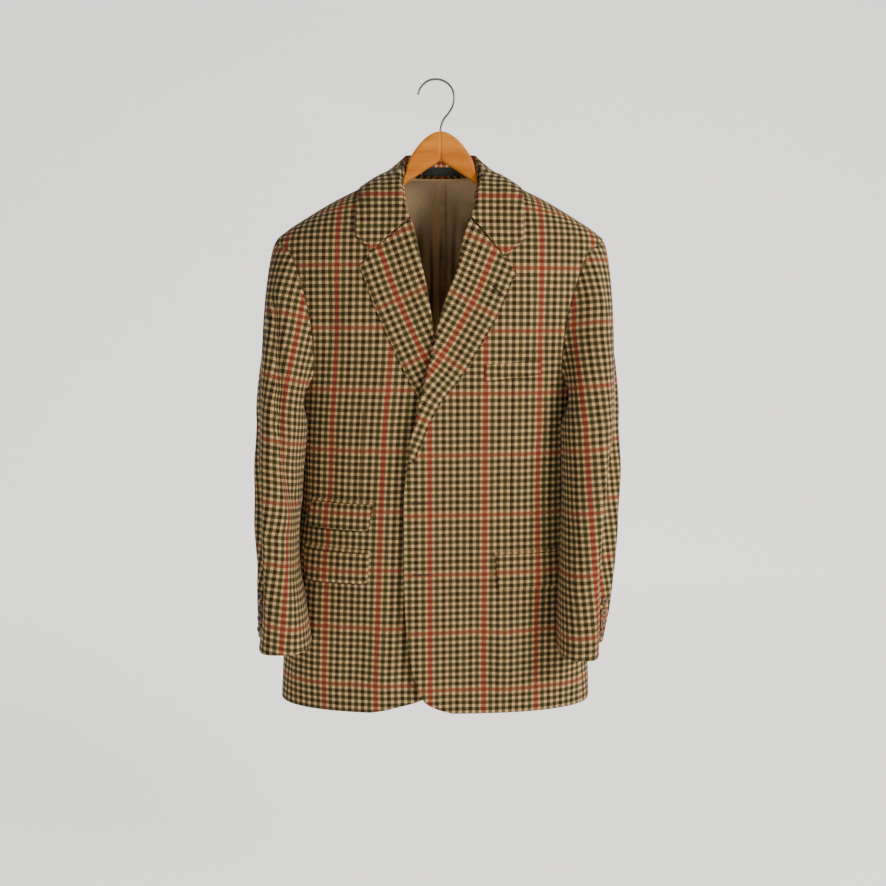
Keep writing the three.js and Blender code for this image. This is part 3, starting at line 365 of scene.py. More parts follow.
lining = lining_material("lining_satin")
# The back lining gets painted light and shade on the sides of its folds.
lining_painted_fold_light = lining_material("lining_shot_satin", painted_fold_light=True)
wood = wood_material()
horn = horn_material()
steel = steel_material()
thread = thread_material("buttonhole_thread", (0.018, 0.013, 0.009))
label_cloth = thread_material("label_cloth", (0.012, 0.022, 0.020))
print("finishes:", [m.name for m in bpy.data.materials if m.users == 0])

# %% [markdown]
# ## The coat's form
# A tailor's form is a stack of level sections. Each section below is a rounded oval: half its
# width, its depth in front of and behind the shoulder line, how square it is, and how far its
# middle lies to the wearer's left. Smooth curves run through the rows. Lengths in these tables
# are millimetres, and `turn` is in degrees round the body, 0 in front and 90 at the wearer's left.
# A sculpted mesh could serve as the form as well, but a formula can be asked for a point, its
# normal and the length of the cloth over it anywhere, and every seam then fits its neighbour.

# %% Tables and smooth curves through them
MM = 0.001
SIGN = {"left": 1, "right": -1}


def table(names, text):
    rows = [[float(word) for word in line.split()] for line in text.strip().splitlines()]
    return dict(zip(names.split(), np.array(rows).T))


def mix(a, b, t):
    return a + (b - a) * t


def ease(t):
    t = np.clip(t, 0, 1)
    return t * t * (3 - 2 * t)


def unit(vectors):
    return vectors / np.maximum(np.linalg.norm(vectors, axis=-1, keepdims=True), 1e-9)


def track(rows, key, column):
    """A smooth curve through one column of a table, which never overshoots."""
    order = np.argsort(rows[key])
    at = rows[key][order]
    value = rows[column][order]
    rise = np.diff(value) / np.diff(at)
    before = np.r_[rise[0], rise]
    after = np.r_[rise, rise[-1]]
    agree = before * after > 0
    slope = np.where(agree, 2 * before * after / np.where(agree, before + after, 1), 0)

    def curve(wanted):
        k = np.clip(wanted, at[0], at[-1])
        i = np.clip(np.searchsorted(at, k, "right") - 1, 0, len(rise) - 1)
        width = at[i + 1] - at[i]
        t = (k - at[i]) / width
        straight = mix(value[i], value[i + 1], t * t * (3 - 2 * t))
        return straight + t * (1 - t) * width * ((1 - t) * slope[i] - t * slope[i + 1])

    return curve


def tracks(rows, key):
    return {column: track(rows, key, column) for column in rows if column != key}


body = tracks(table("z wide front back square centre", """
    -120   50    8  52    2.0    5
    -135   75   20  57    2.0    5
    -153  110   37  62    2.1    5
    -179  163   51  67    2.2    4.8
    -206  209   61  71    2.3    4.5
    -224  237   66  74    2.3    4.5
    -240  254.5 70  76    2.3    4
    -256  258.5 73  77.5  2.35   3.5
    -290  254   78  79    2.4    3
    -373  237   84  80    2.4    2
    -482  218   86  75    2.5    1
    -600  217   83  69    2.5    0
    -740  231   83  72    2.5   -1
    -880  249   84  77    2.5   -3
    -980  255   86  80    2.5   -4
"""), "z")
print("widest half of the form:", body["wide"](np.arange(-980.0, -120)).max().round(1), "mm")

# %% Points and directions on the form
def form_point(turn, z):
    turn, z = np.broadcast_arrays(np.asarray(turn, float), np.asarray(z, float))
    sine = np.sin(np.radians(turn))
    cosine = np.cos(np.radians(turn))
    square = body["square"](z)
    reach = (abs(sine) ** square + abs(cosine) ** square) ** (-1 / square)
    deep = np.where(cosine > 0, body["front"](z), body["back"](z))
    x = body["centre"](z) + body["wide"](z) * reach * sine
    return np.stack([x, -deep * reach * cosine, z], -1)


def form_normal(turn, z):
    across = form_point(turn + 0.2, z) - form_point(turn - 0.2, z)
    up = form_point(turn, z + 0.5) - form_point(turn, z - 0.5)
    return unit(np.cross(across, up))


def body_point(turn, z, out):
    return form_point(turn, z) + form_normal(turn, z) * np.asarray(out, float)[..., None]


def turn_at(x, z):
    """The turn at which the front of the form passes x."""
    square = body["square"](z)
    off = x - body["centre"](z)
    share = np.minimum(abs(off) / body["wide"](z), 0.9999) ** square
    return np.degrees(np.arctan((share / (1 - share)) ** (1 / square))) * np.sign(off)


def turn_for(length, turn, z):
    step = form_point(turn + 0.5, z) - form_point(turn - 0.5, z)
    return length / np.linalg.norm(step, axis=-1)


print("breastbone:", form_point(0.0, -373.0).round(1), "mm")

# %% How far the cloth runs over the form, round it and up it
TURNS = np.linspace(0, 180, 361)
HEIGHTS = np.arange(-985, -114, 4.0)


def run_along(points):
    """How far along a line of points each of them lies."""
    return np.r_[0, np.cumsum(np.linalg.norm(np.diff(points, axis=0), axis=-1))]


def summed(steps, axis=1):
    """Running sums along an axis, which start at 0."""
    return np.insert(np.cumsum(steps, axis), 0, 0, axis)


def form_lengths():
    turn, z = np.meshgrid(TURNS, HEIGHTS, indexing="ij")
    points = form_point(turn, z)
    lean = np.clip(form_normal(turn, z)[..., 2], -0.97, 0.97)
    girth = summed(np.linalg.norm(np.diff(points, axis=0), axis=-1), 0)
    slope = 1 / np.sqrt(1 - lean ** 2)
    climb = (slope[:, 1:] + slope[:, :-1]) / 2 * np.diff(HEIGHTS)
    return girth, summed(climb)


girth_table, climb_table = form_lengths()


def look_up(values, turn, z):
    i = np.interp(abs(turn), TURNS, np.arange(len(TURNS)))
    j = np.interp(z, HEIGHTS, np.arange(len(HEIGHTS)))
    low_i = np.minimum(i.astype(int), len(TURNS) - 2)
    low_j = np.minimum(j.astype(int), len(HEIGHTS) - 2)
    low = mix(values[low_i, low_j], values[low_i + 1, low_j], i - low_i)
    high = mix(values[low_i, low_j + 1], values[low_i + 1, low_j + 1], i - low_i)
    return mix(low, high, j - low_j)


def body_cut(turn, z, red_turn, red_z):
    """The flat place of cloth on the form, from a red warp stripe at red_turn and a red weft at red_z."""
    turn, z, red_turn = np.broadcast_arrays(turn, z, red_turn)
    round_it = np.sign(turn) * look_up(girth_table, turn, z)
    red = np.sign(red_turn) * look_up(girth_table, red_turn, z)
    up = look_up(climb_table, turn, z) - look_up(climb_table, turn, np.full(z.shape, float(red_z)))
    return np.stack([round_it - red, up], -1)


half_girth = look_up(girth_table, np.array(180.0), np.array(-373.0))
print("half the coat's girth at the chest:", round(float(half_girth)), "mm")

# %% [markdown]
# ## How cloth is cut and laid
# Every piece of cloth here is a wall with an outer and an inner face. A tailor turns each edge in,
# so a wall thins to a rounded rim, and where two such rims meet they leave the fine valley of a
# seam. Each point also carries its place on the flat cloth, so that the check meets at the seams.
# A crease is a line over the cloth, with a width, and a depth in or out that fades at its ends.
# Cloth physics could drape the pieces too, but it settles a little differently each time, and a
# pressed coat keeps the shape that it was tailored to. So the walls are made point by point.

# %% Walls of cloth
WALL = 2.0
EDGE = 2.6  # the distance over which a wall rounds off to its rim
THIN = 0.3  # of the wall's thickness, left at the rim
RIM_STEPS = np.array([0, 0.35, 0.9, 1.7, 2.8])  # distances from an edge, where it is rounded
CLOTH_STEP = 4.0
CREASE_FADE = 0.35  # of a crease's length, over which it fades in from each end
LEAST_FILL = 0.31  # of its width by its length, that a cut piece fills


def spaced(length, step=CLOTH_STEP):
    """Shares along a length in even steps, with close ones at both edges."""
    rim = RIM_STEPS / length
    middle = np.linspace(rim[-1], 1 - rim[-1], max(int(length / step), 2))
    return np.concatenate([rim[:-1], middle, 1 - rim[:-1][::-1]])


def spaced_along(line, low, high, step=CLOTH_STEP):
    """Values from low to high at which line(value) is spaced along its own length."""
    fine = np.linspace(low, high, 600)
    run = run_along(line(fine))
    return np.interp(spaced(run[-1], step) * run[-1], run, fine)


def grid_normals(points):
    across = np.gradient(points, axis=1)
    along = np.gradient(points, axis=0)
    return unit(np.cross(across, along))


def edge_distance(points):
    """How far each point lies from the nearest edge of its piece, over the cloth."""
    far = np.full(points.shape[:2], 1e3)
    for axis in (0, 1):
        step = np.linalg.norm(np.diff(points, axis=axis), axis=-1)
        run = summed(step, axis)
        far = np.minimum(far, np.minimum(run, np.take(run, [-1], axis=axis) - run))
    return far


def creased(points, normals, creases):
    """Moves points in or out by each crease: its line, its width, and its depth, which fades at
    its ends."""
    out = np.zeros(points.shape[:-1])
    for line, width, depth in creases:
        line = np.asarray(line, float)
        run = run_along(line)
        best = np.full(out.shape, 1e9)
        at = np.zeros(out.shape)
        for start, end, length, before in zip(line, line[1:], np.diff(run), run):
            along = (points - start) @ (end - start) / length ** 2
            share = np.clip(along, 0, 1)
            far = np.linalg.norm(points - start - share[..., None] * (end - start), axis=-1)
            closer = far < best
            best = np.where(closer, far, best)
            at = np.where(closer, before + share * length, at)
        fade = ease(np.minimum(at, run[-1] - at) / (CREASE_FADE * run[-1]))
        out += depth * fade * np.exp(-((best / width) ** 2))
    return points + normals * out[..., None]


def add_piece(name, points, faces, materials):
    """A smooth mesh of points in millimetres, placed in the scene."""
    mesh = bpy.data.meshes.new(name)
    mesh.from_pydata((points * MM).tolist(), [], faces)
    mesh.shade_smooth()
    for material in materials:
        mesh.materials.append(material)
    piece = bpy.data.objects.new(name, mesh)
    bpy.context.scene.collection.objects.link(piece)
    return piece


def add_wall(name, outer, uv, inset=WALL / 2, wall=WALL, materials=(tweed,), lined=True):
    """A closed wall whose middle lies `inset` inside `outer`. A second material is for its inner
    face, or only for the columns of it that `lined` says."""
    rows, columns = outer.shape[:2]
    normal = grid_normals(outer)
    near = np.clip(edge_distance(outer) / EDGE, 0, 1)
    half = wall / 2 * np.maximum(np.sqrt(1 - (1 - near) ** 2), THIN)[..., None]
    middle = outer - normal * inset
    sides = [middle + normal * half, middle - normal * half]
    points = np.concatenate(sides).reshape(-1, 3)
    index = np.arange(rows * columns).reshape(rows, columns)
    a, b = index[:-1, :-1].ravel(), index[:-1, 1:].ravel()
    c, d = index[1:, 1:].ravel(), index[1:, :-1].ravel()
    front = np.stack([a, b, c, d], 1)
    back = front[:, ::-1] + rows * columns
    loop = np.concatenate([index[0, :-1], index[:-1, -1], index[-1, :0:-1], index[:0:-1, 0]])
    after = np.roll(loop, -1)
    rim = np.stack([after, loop, loop + rows * columns, after + rows * columns], 1)
    faces = np.concatenate([front, back, rim])
    piece = add_piece(name, points, faces.tolist(), materials)
    flat = np.concatenate([uv.reshape(-1, 2)] * 2) * MM
    layer = piece.data.uv_layers.new(name="cut")
    layer.data.foreach_set("uv", flat[faces.ravel()].astype(np.float32).ravel())
    if len(materials) > 1:
        column = np.tile(np.broadcast_to(lined, columns - 1), rows - 1)
        inner = np.concatenate([np.zeros(len(front)), column, np.zeros(len(rim))])
        piece.data.polygons.foreach_set("material_index", inner.astype(np.int32))
    return piece


def cut_size(uv):
    """The width, length and area of a piece's flat cut, in metres."""
    u, v = uv[..., 0] * MM, uv[..., 1] * MM
    across = (u[1:, 1:] - u[:-1, :-1]) * (v[1:, :-1] - v[:-1, 1:])
    along = (u[1:, :-1] - u[:-1, 1:]) * (v[1:, 1:] - v[:-1, :-1])
    area = abs(across - along).sum() / 2
    width, length = np.ptp(u), np.ptp(v)
    whole = width * length
    return float(width), float(length), float(np.clip(area, LEAST_FILL * whole, whole))


def dress(piece, nodes):
    """A piece rides on the coat and stands for its CAD nodes, which are hidden."""
    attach(piece, "root")
    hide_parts(*nodes)


def sew(piece, uv, node, turned=0.0):
    """Works out the size a piece of cloth was cut to, prints it and dresses the piece. `turned`
    is the length in metres that a narrow strip has turned under along its edges."""
    width, length, area = cut_size(uv)
    area *= (length + turned) / length
    length += turned
    dress(piece, [node])
    faces = len(piece.data.polygons)
    print(f"{piece.name}: {faces} faces, cut {width:.3f} x {length:.3f} m, {area:.4f} m2")


print("walls:", WALL, "mm, and", WALL * THIN, "mm at their rims")

# %% The armhole
SHOULDER_Z = -238
UNDERARM_Z = -482
HEM_Z = -975
SIDE_SEAM_TURN = 62
BACK_SEAM_TURN = 118
FRONT_CORNER = 152  # degrees round the armhole, from the shoulder point forwards
BACK_CORNER = 208
armhole_turn = track(table("round turn", """
      0  90
     15  74
     33  57
     55  52.5
     90  50
    130  53
    152  62
    180  90
    208 118
    232 126
    275 129
    305 127
    327 121
    345 107
    360  90
"""), "round", "turn")


def armhole_at(degrees):
    swing = (1 + np.cos(np.radians(degrees))) / 2
    return armhole_turn(degrees), mix(UNDERARM_Z, SHOULDER_Z, swing)


FRONT_CORNER_Z = float(armhole_at(FRONT_CORNER)[1])
BACK_CORNER_Z = float(armhole_at(BACK_CORNER)[1])
print("side seams start at", round(FRONT_CORNER_Z), "and", round(BACK_CORNER_Z), "mm")

# %% [markdown]
# ## The fronts
# Each front runs from its rounded hem up the front edge, along the roll line of its lapel and
# round the neck. `rail` pairs each point of that edge with one on the outer edge: 0 to 1 up the
# side seam, and 1 to 2 round the armhole to the shoulder point. A plane could be cut to outline
# and wrapped on, but rows from edge to edge keep the edges smooth and the seams exact. The left
# front laps over the right one and stands off it a little, as an unbuttoned front does.

# %% The fronts' edges and their lap
front_edge = {
    "left": tracks(table("x z rail", """
         24   -975    0
          1.7 -967.5  0.03
        -20   -954    0.07
        -32.7 -926    0.13
        -43.3 -877    0.21
        -49.3 -810    0.33
        -51.7 -720    0.5
        -50.6 -635    0.67
        -43   -570    0.8
        -22   -476    1
         -3   -401    1.22
          6   -361.6  1.35
         29.7 -292.6  1.55
         51   -212    1.78
         68   -185    1.86
         79   -158    1.93
         80   -135    2
    """), "rail"),
    "right": tracks(table("x z rail", """
        -105   -975    0
         -67   -967.5  0.03
         -24   -954    0.07
           0   -928    0.12
          12   -885    0.2
          16   -815    0.33
          17   -720    0.5
          17   -635    0.67
          16.5 -548    0.82
           8   -470    1
          -2   -405    1.22
          -9.5 -361.6  1.35
         -23   -292.6  1.55
         -42   -214    1.78
         -58   -185    1.86
         -69   -158    1.93
         -70   -135    2
    """), "rail"),
}
SEAM = 0.1  # each panel's own half of a seam
OVERLAP = {"left": (8, 40, -50), "right": (-3.2, -90, -50)}  # moved out, from x, to x
OVERLAP_TOP = (-250, -380)  # z over which the lap begins

# Soft creases on the fronts, by x and z: three points of the line, its width and its depth.
FRONT_CREASES = {
    "left": [
        ((168, -285), (160, -360), (163, -440), 13, -3.2),
        ((140, -300), (136, -350), (138, -400), 14, 1.8),
        ((105, -540), (99, -620), (95, -700), 17, -2.6),
        ((150, -520), (160, -600), (165, -690), 15, -2.4),
        ((56, -770), (62, -860), (74, -965), 20, -3.4),
        ((104, -790), (108, -880), (116, -968), 20, 3.6),
        ((158, -780), (164, -870), (170, -968), 18, -3.0),
        ((-20, -655), (30, -676), (84, -668), 9, -1.0),
        ((-30, -770), (14, -792), (60, -800), 12, 1.0),
        ((6, -500), (30, -560), (36, -640), 16, 2.0),
        ((204, -700), (200, -800), (205, -960), 14, 2.4),
    ],
    "right": [
        ((-166, -285), (-158, -350), (-160, -430), 13, -3.2),
        ((-134, -310), (-132, -360), (-136, -410), 14, 1.6),
        ((-104, -470), (-96, -560), (-92, -640), 17, -2.4),
        ((-158, -500), (-166, -590), (-172, -690), 14, -2.2),
        ((-60, -560), (-66, -660), (-62, -780), 20, 2.6),
        ((-120, -800), (-126, -880), (-140, -968), 19, -3.0),
        ((-66, -800), (-72, -880), (-84, -966), 22, 3.2),
        ((-30, -760), (-36, -850), (-30, -940), 16, -2.6),
        ((-185, -720), (-192, -820), (-202, -965), 15, 2.8),
        ((0, -600), (-8, -660), (-4, -730), 12, -1.6),
    ],
}


def roll_point(side, rail):
    return front_edge[side]["x"](rail), front_edge[side]["z"](rail)


def front_by_turn(side, turn, z, out):
    lift, from_x, to_x = OVERLAP[side]
    high, low = OVERLAP_TOP
    at = form_point(turn, z)
    out = out + lift * ease((at[..., 0] - from_x) / (to_x - from_x)) * ease((z - high) / (low - high))
    return creased(body_point(turn, z, out), form_normal(turn, z), front_creases[side])


def front_by_x(side, x, z, out):
    x, z, out = np.broadcast_arrays(np.asarray(x, float), z, out)
    return front_by_turn(side, turn_at(x, z), z, out)


def on_front(points):
    x, z = np.array(points, float).T
    return form_point(turn_at(x, z), z)


front_creases = {
    side: [(on_front(points), width, depth) for *points, width, depth in rows]
    for side, rows in FRONT_CREASES.items()
}
print("creases on the fronts:", {side: len(rows) for side, rows in front_creases.items()})

red_line = {
    "left": track(table("z x", """
        -980 -11
        -120 -11
    """), "z", "x"),
    "right": track(table("z x", """
        -928 -97
        -553 -81
        -395 -68.5
        -210 -64
    """), "z", "x"),
}
RED_WEFT_Z = {"left": -656, "right": -651}


def front_cut(side, turn, z):
    return body_cut(turn, z, turn_at(red_line[side](z), z), RED_WEFT_Z[side])


print("red stripe at the chest:", {side: float(red_line[side](-400)) for side in SIGN}, "mm")

# %% The fronts
FRONT_WIDE = 240
FACING = 0.26  # of its width, over which a front is faced with the tweed inside


def front_outer(rail):
    turn, z = armhole_at(FRONT_CORNER * (2 - np.maximum(rail, 1)))
    low = rail < 1
    return np.where(low, SIDE_SEAM_TURN, turn), np.where(low, mix(HEM_Z, FRONT_CORNER_Z, rail), z)


def make_front(side):
    sign = SIGN[side]
    rail = spaced_along(lambda r: np.stack(roll_point(side, r), -1), 0, 2)[:, None]
    x, z = roll_point(side, rail)
    outer_turn, outer_z = front_outer(rail)
    to = sign * (outer_turn - turn_for(SEAM, outer_turn, outer_z))
    inner_turn = turn_at(x, z)
    start = np.where(rail > 2 - 1e-6, to, inner_turn + sign * turn_for(SEAM, inner_turn, z))
    u = spaced(FRONT_WIDE)
    u = u if side == "left" else u[::-1]
    turn = mix(start, to, u)
    height = mix(z, outer_z, u)
    uv = front_cut(side, turn, height)
    piece = add_wall(f"cloth_front_{side}", front_by_turn(side, turn, height, 0), uv,
                     materials=(front_tweed[side], lining), lined=u[1:] > FACING)
    sew(piece, uv, f"front_{side}")


# A fine dart is sewn into each front, and drawn as a line of painted shade: its x, and the z of
# its foot and its top.
DARTS = {"left": (113, -692, -432), "right": (-116, -628, -498)}


def dart_line(side):
    x, low, high = DARTS[side]
    z = np.array([low, high], float)
    cut = front_cut(side, turn_at(np.full(2, float(x)), z), z) * MM
    return (float(cut[:, 0].mean()), float(cut[0, 1]), float(cut[1, 1]))


front_tweed = {side: tweed_material(f"tweed_front_{side}", [dart_line(side)]) for side in SIGN}
for side in SIGN:
    make_front(side)

# %% [markdown]
# ## The side panels and the back
# The side panel runs under the arm between two seams. The back has a centre seam, and runs over
# the shoulder to the neck. Both keep the check level with the fronts. They could be one sheet
# with the fronts, but the seams show as fine valleys and turn the check, so each is its own wall.

# %% The side panels
SIDE_CREASES = [
    # turn and z of three points, width, depth
    ((80, -500), (78, -600), (82, -700), 16, -2.4),
    ((100, -490), (104, -580), (100, -660), 14, 2.0),
    ((72, -720), (70, -840), (68, -965), 16, -2.6),
    ((98, -700), (100, -830), (103, -965), 18, 3.0),
]
SIDE_RED_TURN = 84
SIDE_WIDE = 120


def form_creases(rows, sign):
    creases = []
    for *points, width, depth in rows:
        turn, z = np.array(points, float).T
        creases.append((form_point(sign * turn, z), width, depth))
    return creases


def make_side(side):
    sign = SIGN[side]
    v = spaced(FRONT_CORNER_Z - HEM_Z)[:, None]
    share = spaced(SIDE_WIDE)
    degrees = mix(FRONT_CORNER, BACK_CORNER, share)
    top_turn, top_z = armhole_at(degrees)
    z = mix(HEM_Z, top_z, v)
    low = mix(SIDE_SEAM_TURN, BACK_SEAM_TURN, share)
    inside = turn_for(SEAM, low, z) * (1 - 2 * share)
    turn = sign * (mix(low, top_turn, v ** 3) + inside)
    if side == "right":
        turn, z = turn[:, ::-1], z[:, ::-1]
    normals = form_normal(turn, z)
    outer = creased(form_point(turn, z), normals, form_creases(SIDE_CREASES, sign))
    uv = body_cut(turn, z, sign * SIDE_RED_TURN, RED_WEFT_Z[side])
    piece = add_wall(f"cloth_side_{side}", outer, uv, materials=(tweed, lining))
    sew(piece, uv, f"side_{side}")


for side in SIGN:
    make_side(side)

# %% The back
YOKE_Z = -190  # the back's centre, on its row from the shoulder point
NECK_Z = -137
SHOULDER_NECK_Z = NECK_Z + 1.5
BACK_WIDE = 250
BACK_RED = 43  # from the centre seam to the nearest red stripe
BACK_RED_WEFT_Z = -653.5
BACK_CREASES = [
    ((122, -290), (126, -370), (124, -450), 14, -3.4),
    ((130, -300), (136, -380), (133, -440), 13, 2.2),
    ((150, -500), (146, -590), (148, -680), 22, -2.8),
    ((134, -520), (130, -620), (132, -720), 17, 2.2),
    ((168, -560), (164, -640), (166, -730), 16, 1.6),
    ((140, -740), (137, -850), (135, -968), 20, 3.6),
    ((158, -720), (156, -840), (152, -968), 22, -3.4),
    ((172, -800), (170, -880), (169, -968), 16, 2.2),
    ((160, -168), (164, -186), (170, -196), 12, -1.6),
]


def back_outer(rail):
    turn, z = armhole_at(mix(BACK_CORNER, 360, np.clip(rail - 1, 0, 1)))
    low, top = rail <= 1, rail > 2
    turn = np.where(low, BACK_SEAM_TURN, np.where(top, 90, turn))
    z = np.where(low, mix(HEM_Z, BACK_CORNER_Z, rail), z)
    return turn, np.where(top, mix(SHOULDER_Z, SHOULDER_NECK_Z, rail - 2), z)


def back_inner_z(rail):
    low = mix(HEM_Z, BACK_CORNER_Z, rail)
    middle = mix(BACK_CORNER_Z, YOKE_Z, rail - 1)
    return np.where(rail <= 1, low, np.where(rail <= 2, middle, mix(YOKE_Z, NECK_Z, rail - 2)))


def back_rails(top):
    """Rails up the back, spaced along the line half way across it."""
    def halfway(rail):
        turn, z = back_outer(rail)
        return form_point(mix(180, turn, 0.5), mix(back_inner_z(rail), z, 0.5))
    return spaced_along(halfway, 0, top)[:, None]


def make_back(side):
    sign = SIGN[side]
    rail = back_rails(3)
    outer_turn, outer_z = back_outer(rail)
    inner_z = back_inner_z(rail)
    u = spaced(BACK_WIDE)
    start = 180 - turn_for(SEAM, 180, inner_z)
    to = outer_turn + turn_for(SEAM, outer_turn, outer_z)
    turn = sign * mix(start, to, u)
    z = mix(inner_z, outer_z, u)
    if side == "left":
        turn, z = turn[:, ::-1], z[:, ::-1]
    normals = form_normal(turn, z)
    outer = creased(form_point(turn, z), normals, form_creases(BACK_CREASES, sign))
    uv = body_cut(turn, z, sign * 180, BACK_RED_WEFT_Z) + (sign * BACK_RED, 0)
    piece = add_wall(f"cloth_back_{side}", outer, uv, materials=(tweed, lining))
    sew(piece, uv, f"back_{side}")


for side in SIGN:
    make_back(side)

# %% [markdown]
# ## Lapels
# A lapel curls out of the front's roll line in a soft roll and lies back over the chest. Its warp
# runs along its outer edge, so its check lies slanted against the front's. Folding one sheet
# would stretch the check at the roll, so the lapel is a wall of its own, which starts at the roll
# line, goes half way round a small circle and then lies on the chest.

# %% A wall that turns back over a front
LAY = 0.8  # the gap under a piece that lies on another
CURL_STEPS = 4
FLAT_STEPS = 5
TURN_STEPS = CURL_STEPS + FLAT_STEPS
NOTCH_STEP = 3
ROLL_SETTLE = 0.6  # of the lapel's width, over which the roll sinks to the chest
BREAK_RAIL = 0.8  # where the lapel starts, above the buttons
GORGE_RAIL = 2 - 34 / FRONT_CORNER
GORGE_HEIGHT = 6.4  # of the roll, at the gorge
GORGE_TURN = 0.05  # of a rail, over which a lapel's rows turn to the gorge
NOTCH = {"left": (100, -268), "right": (-97, -259)}
COLLAR_CORNER = {"left": (125.6, -244), "right": (-119.5, -236)}


def turned_back(side, roll, path, height, step, out=0):
    """Points at each step out of the edge at `roll`, over the curl and along path(share).
    It gives them with their place on the flat cloth, in x and z."""
    radius = height / 2
    crown = height - WALL / 2
    way = path(np.ones(1))[0] - roll
    way = way / np.linalg.norm(way)
    angle = np.minimum(step / CURL_STEPS, 1) * np.pi
    share = np.maximum(step - CURL_STEPS, 0) / FLAT_STEPS
    curls = step <= CURL_STEPS
    back = roll - way * (SEAM + (radius + out) * np.sin(angle))[:, None]
    rest = np.minimum(LAY + WALL / 2, crown)
    settled = mix(crown, rest, ease(share / ROLL_SETTLE)) + out
    place = np.where(curls[:, None], back, path(share))
    lift = np.where(curls, radius - WALL / 2 - (radius + out) * np.cos(angle), settled)
    flat = np.where(curls[:, None], roll - way * (radius * (np.pi - angle))[:, None], path(share))
    return front_by_x(side, place[:, 0], place[:, 1], lift), flat


def gorge_path(side, corner, low):
    """From the start of the gorge down to the notch, then out to a corner."""
    roll = np.array(roll_point(side, GORGE_RAIL))
    notch = np.array(NOTCH[side], float)
    turn = NOTCH_STEP / FLAT_STEPS

    def path(share):
        share = share[:, None]
        place = mix(roll, notch, np.minimum(share / turn, 1))
        return mix(place, corner, np.maximum((share - turn) / (1 - turn), 0)) - (0, low)

    return path


print("gorge starts at", [tuple(round(float(c)) for c in roll_point(side, GORGE_RAIL)) for side in SIGN])

# %% The lapels
lapel_edge = {
    "left": tracks(table("rail x z height", """
        0.8    -35   -573 2.6
        1        2   -490 3.8
        1.16    33   -450 4.6
        1.35    65   -399 5.4
        1.55    94   -346 6.0
        1.776  117.6 -290 6.4
    """), "rail"),
    "right": tracks(table("rail x z height", """
        0.8     10   -562 2.6
        1      -22   -484 2.6
        1.16   -42   -449 2.8
        1.35   -72   -386 4.2
        1.55   -96   -330 6.0
        1.776 -114   -280 6.4
    """), "rail"),
}
LAPEL_RED = {"left": 42, "right": 36}  # from the lapel's edge in to its red stripe
LAPEL_RED_WEFT = {"left": (70, -246), "right": (-60, -234)}
CURL_ACROSS = np.linspace(0, CURL_STEPS, 13)
FLAT_ACROSS = CURL_STEPS + FLAT_STEPS * np.linspace(0, 1, 26)[1:]
EDGE_ACROSS = TURN_STEPS - np.array([0.11, 0.06, 0.025, 0])
TURN_ACROSS = np.concatenate([CURL_ACROSS, FLAT_ACROSS[:-1], EDGE_ACROSS])


def make_lapel(side):
    edge = lapel_edge[side]
    rails = spaced_along(lambda r: np.stack([edge["x"](r), edge["z"](r)], -1), BREAK_RAIL, GORGE_RAIL)
    ends = np.stack([edge["x"](rails), edge["z"](rails)], -1)
    grain = unit(np.gradient(ends, axis=0))
    run = run_along(ends)
    points, uv = [], []
    for row, rail in enumerate(rails):
        roll = np.array(roll_point(side, rail))
        end = ends[row]
        top = ease((rail - GORGE_RAIL + GORGE_TURN) / GORGE_TURN)
        gorge = gorge_path(side, end, 2 * SEAM)
        straight = lambda share: mix(roll, end, share[:, None])
        path = lambda share: mix(straight(share), gorge(share), top ** 3)
        line, flat = turned_back(side, roll, path, edge["height"](rail), TURN_ACROSS)
        along = grain[row]
        inward = np.array([-along[1], along[0]]) * SIGN[side]
        off = flat - end
        points.append(line)
        uv.append(np.stack([off @ inward * SIGN[side], run[row] + off @ along], -1))
    points, uv = np.array(points), np.array(uv)
    start = np.array(LAPEL_RED_WEFT[side], float) - ends[-1]
    uv -= (LAPEL_RED[side] * SIGN[side], run[-1] + start @ grain[-1])
    if side == "right":
        points, uv = points[:, ::-1], uv[:, ::-1]
    piece = add_wall(f"cloth_lapel_{side}", points, uv, inset=0)
    sew(piece, uv, f"lapel_{side}")


for side in SIGN:
    make_lapel(side)

# %% [markdown]
# ## The collar
# The collar stands up from the neck seam, turns over at its fold and falls over the shoulders to
# an edge that meets the lapels at the notch. Its warp stripes run across it, and come level at
# the front. A spun or bent strip would have one section all along, but a collar's changes from
# the nape to the notch, so a curve is drawn through seven knots at each place round the neck.

# %% The collar's sections
COLLAR_MIDDLE = 5
COLLAR_WALL = 2.2
COLLAR_REST = LAY + COLLAR_WALL / 2
COLLAR_SHORT = 0.008  # of a rail, by which the collar's curl stops short of the lapel's
GORGE_BLEND = 0.24  # of the half collar, over which its end turns to the gorge
FOOT_GAP = 2.0
FOLD_INNER = 2.4
FOLD_OUTER = 4.2
FOLD_DROP = 4.5
FOLD_OUTER_DROP = FOLD_DROP * 0.6
STAND_BEND = 0.55  # of the stand, up to its middle knot
BULGE = 2.5  # how far the fall stands off half way down
TAN_WEFT = 4.5 * WEFT_PITCH * 1000  # from a red weft to the middle of a tan one
FOLD_KNOTS = np.array([0, 1, 2, 3, 4.72, 6.86, 9])  # steps of foot, stand, fold, bulge and edge
collar = tracks(table("at fold_x fold_y fold_z edge_turn edge_z rail", """
    0     0   61 -101  180 -148  0
    0.2  28   54 -102  150 -149  0.26
    0.4  52   32 -106  118 -152  0.6
    0.55 59    4 -122   92 -154  0.96
    0.7  59  -20 -149   50 -176  1.25
    0.85 51  -43 -182   35 -207  1.65
    1    46.5 -64 -211  29 -238  2
"""), "at")


def neck_rail(share):
    return mix(2, GORGE_RAIL + COLLAR_SHORT, share - 1)


def neck_seam(side, share):
    """A point of the neck seam, and the way out of the body there."""
    if share <= 1:
        turn, z = SIGN[side] * mix(180, 90, share), mix(NECK_Z, SHOULDER_NECK_Z, share)
        return form_point(turn, z), form_normal(turn, z)
    x, z = roll_point(side, neck_rail(share))
    return front_by_x(side, x, z, 0), form_normal(turn_at(x, z), z)


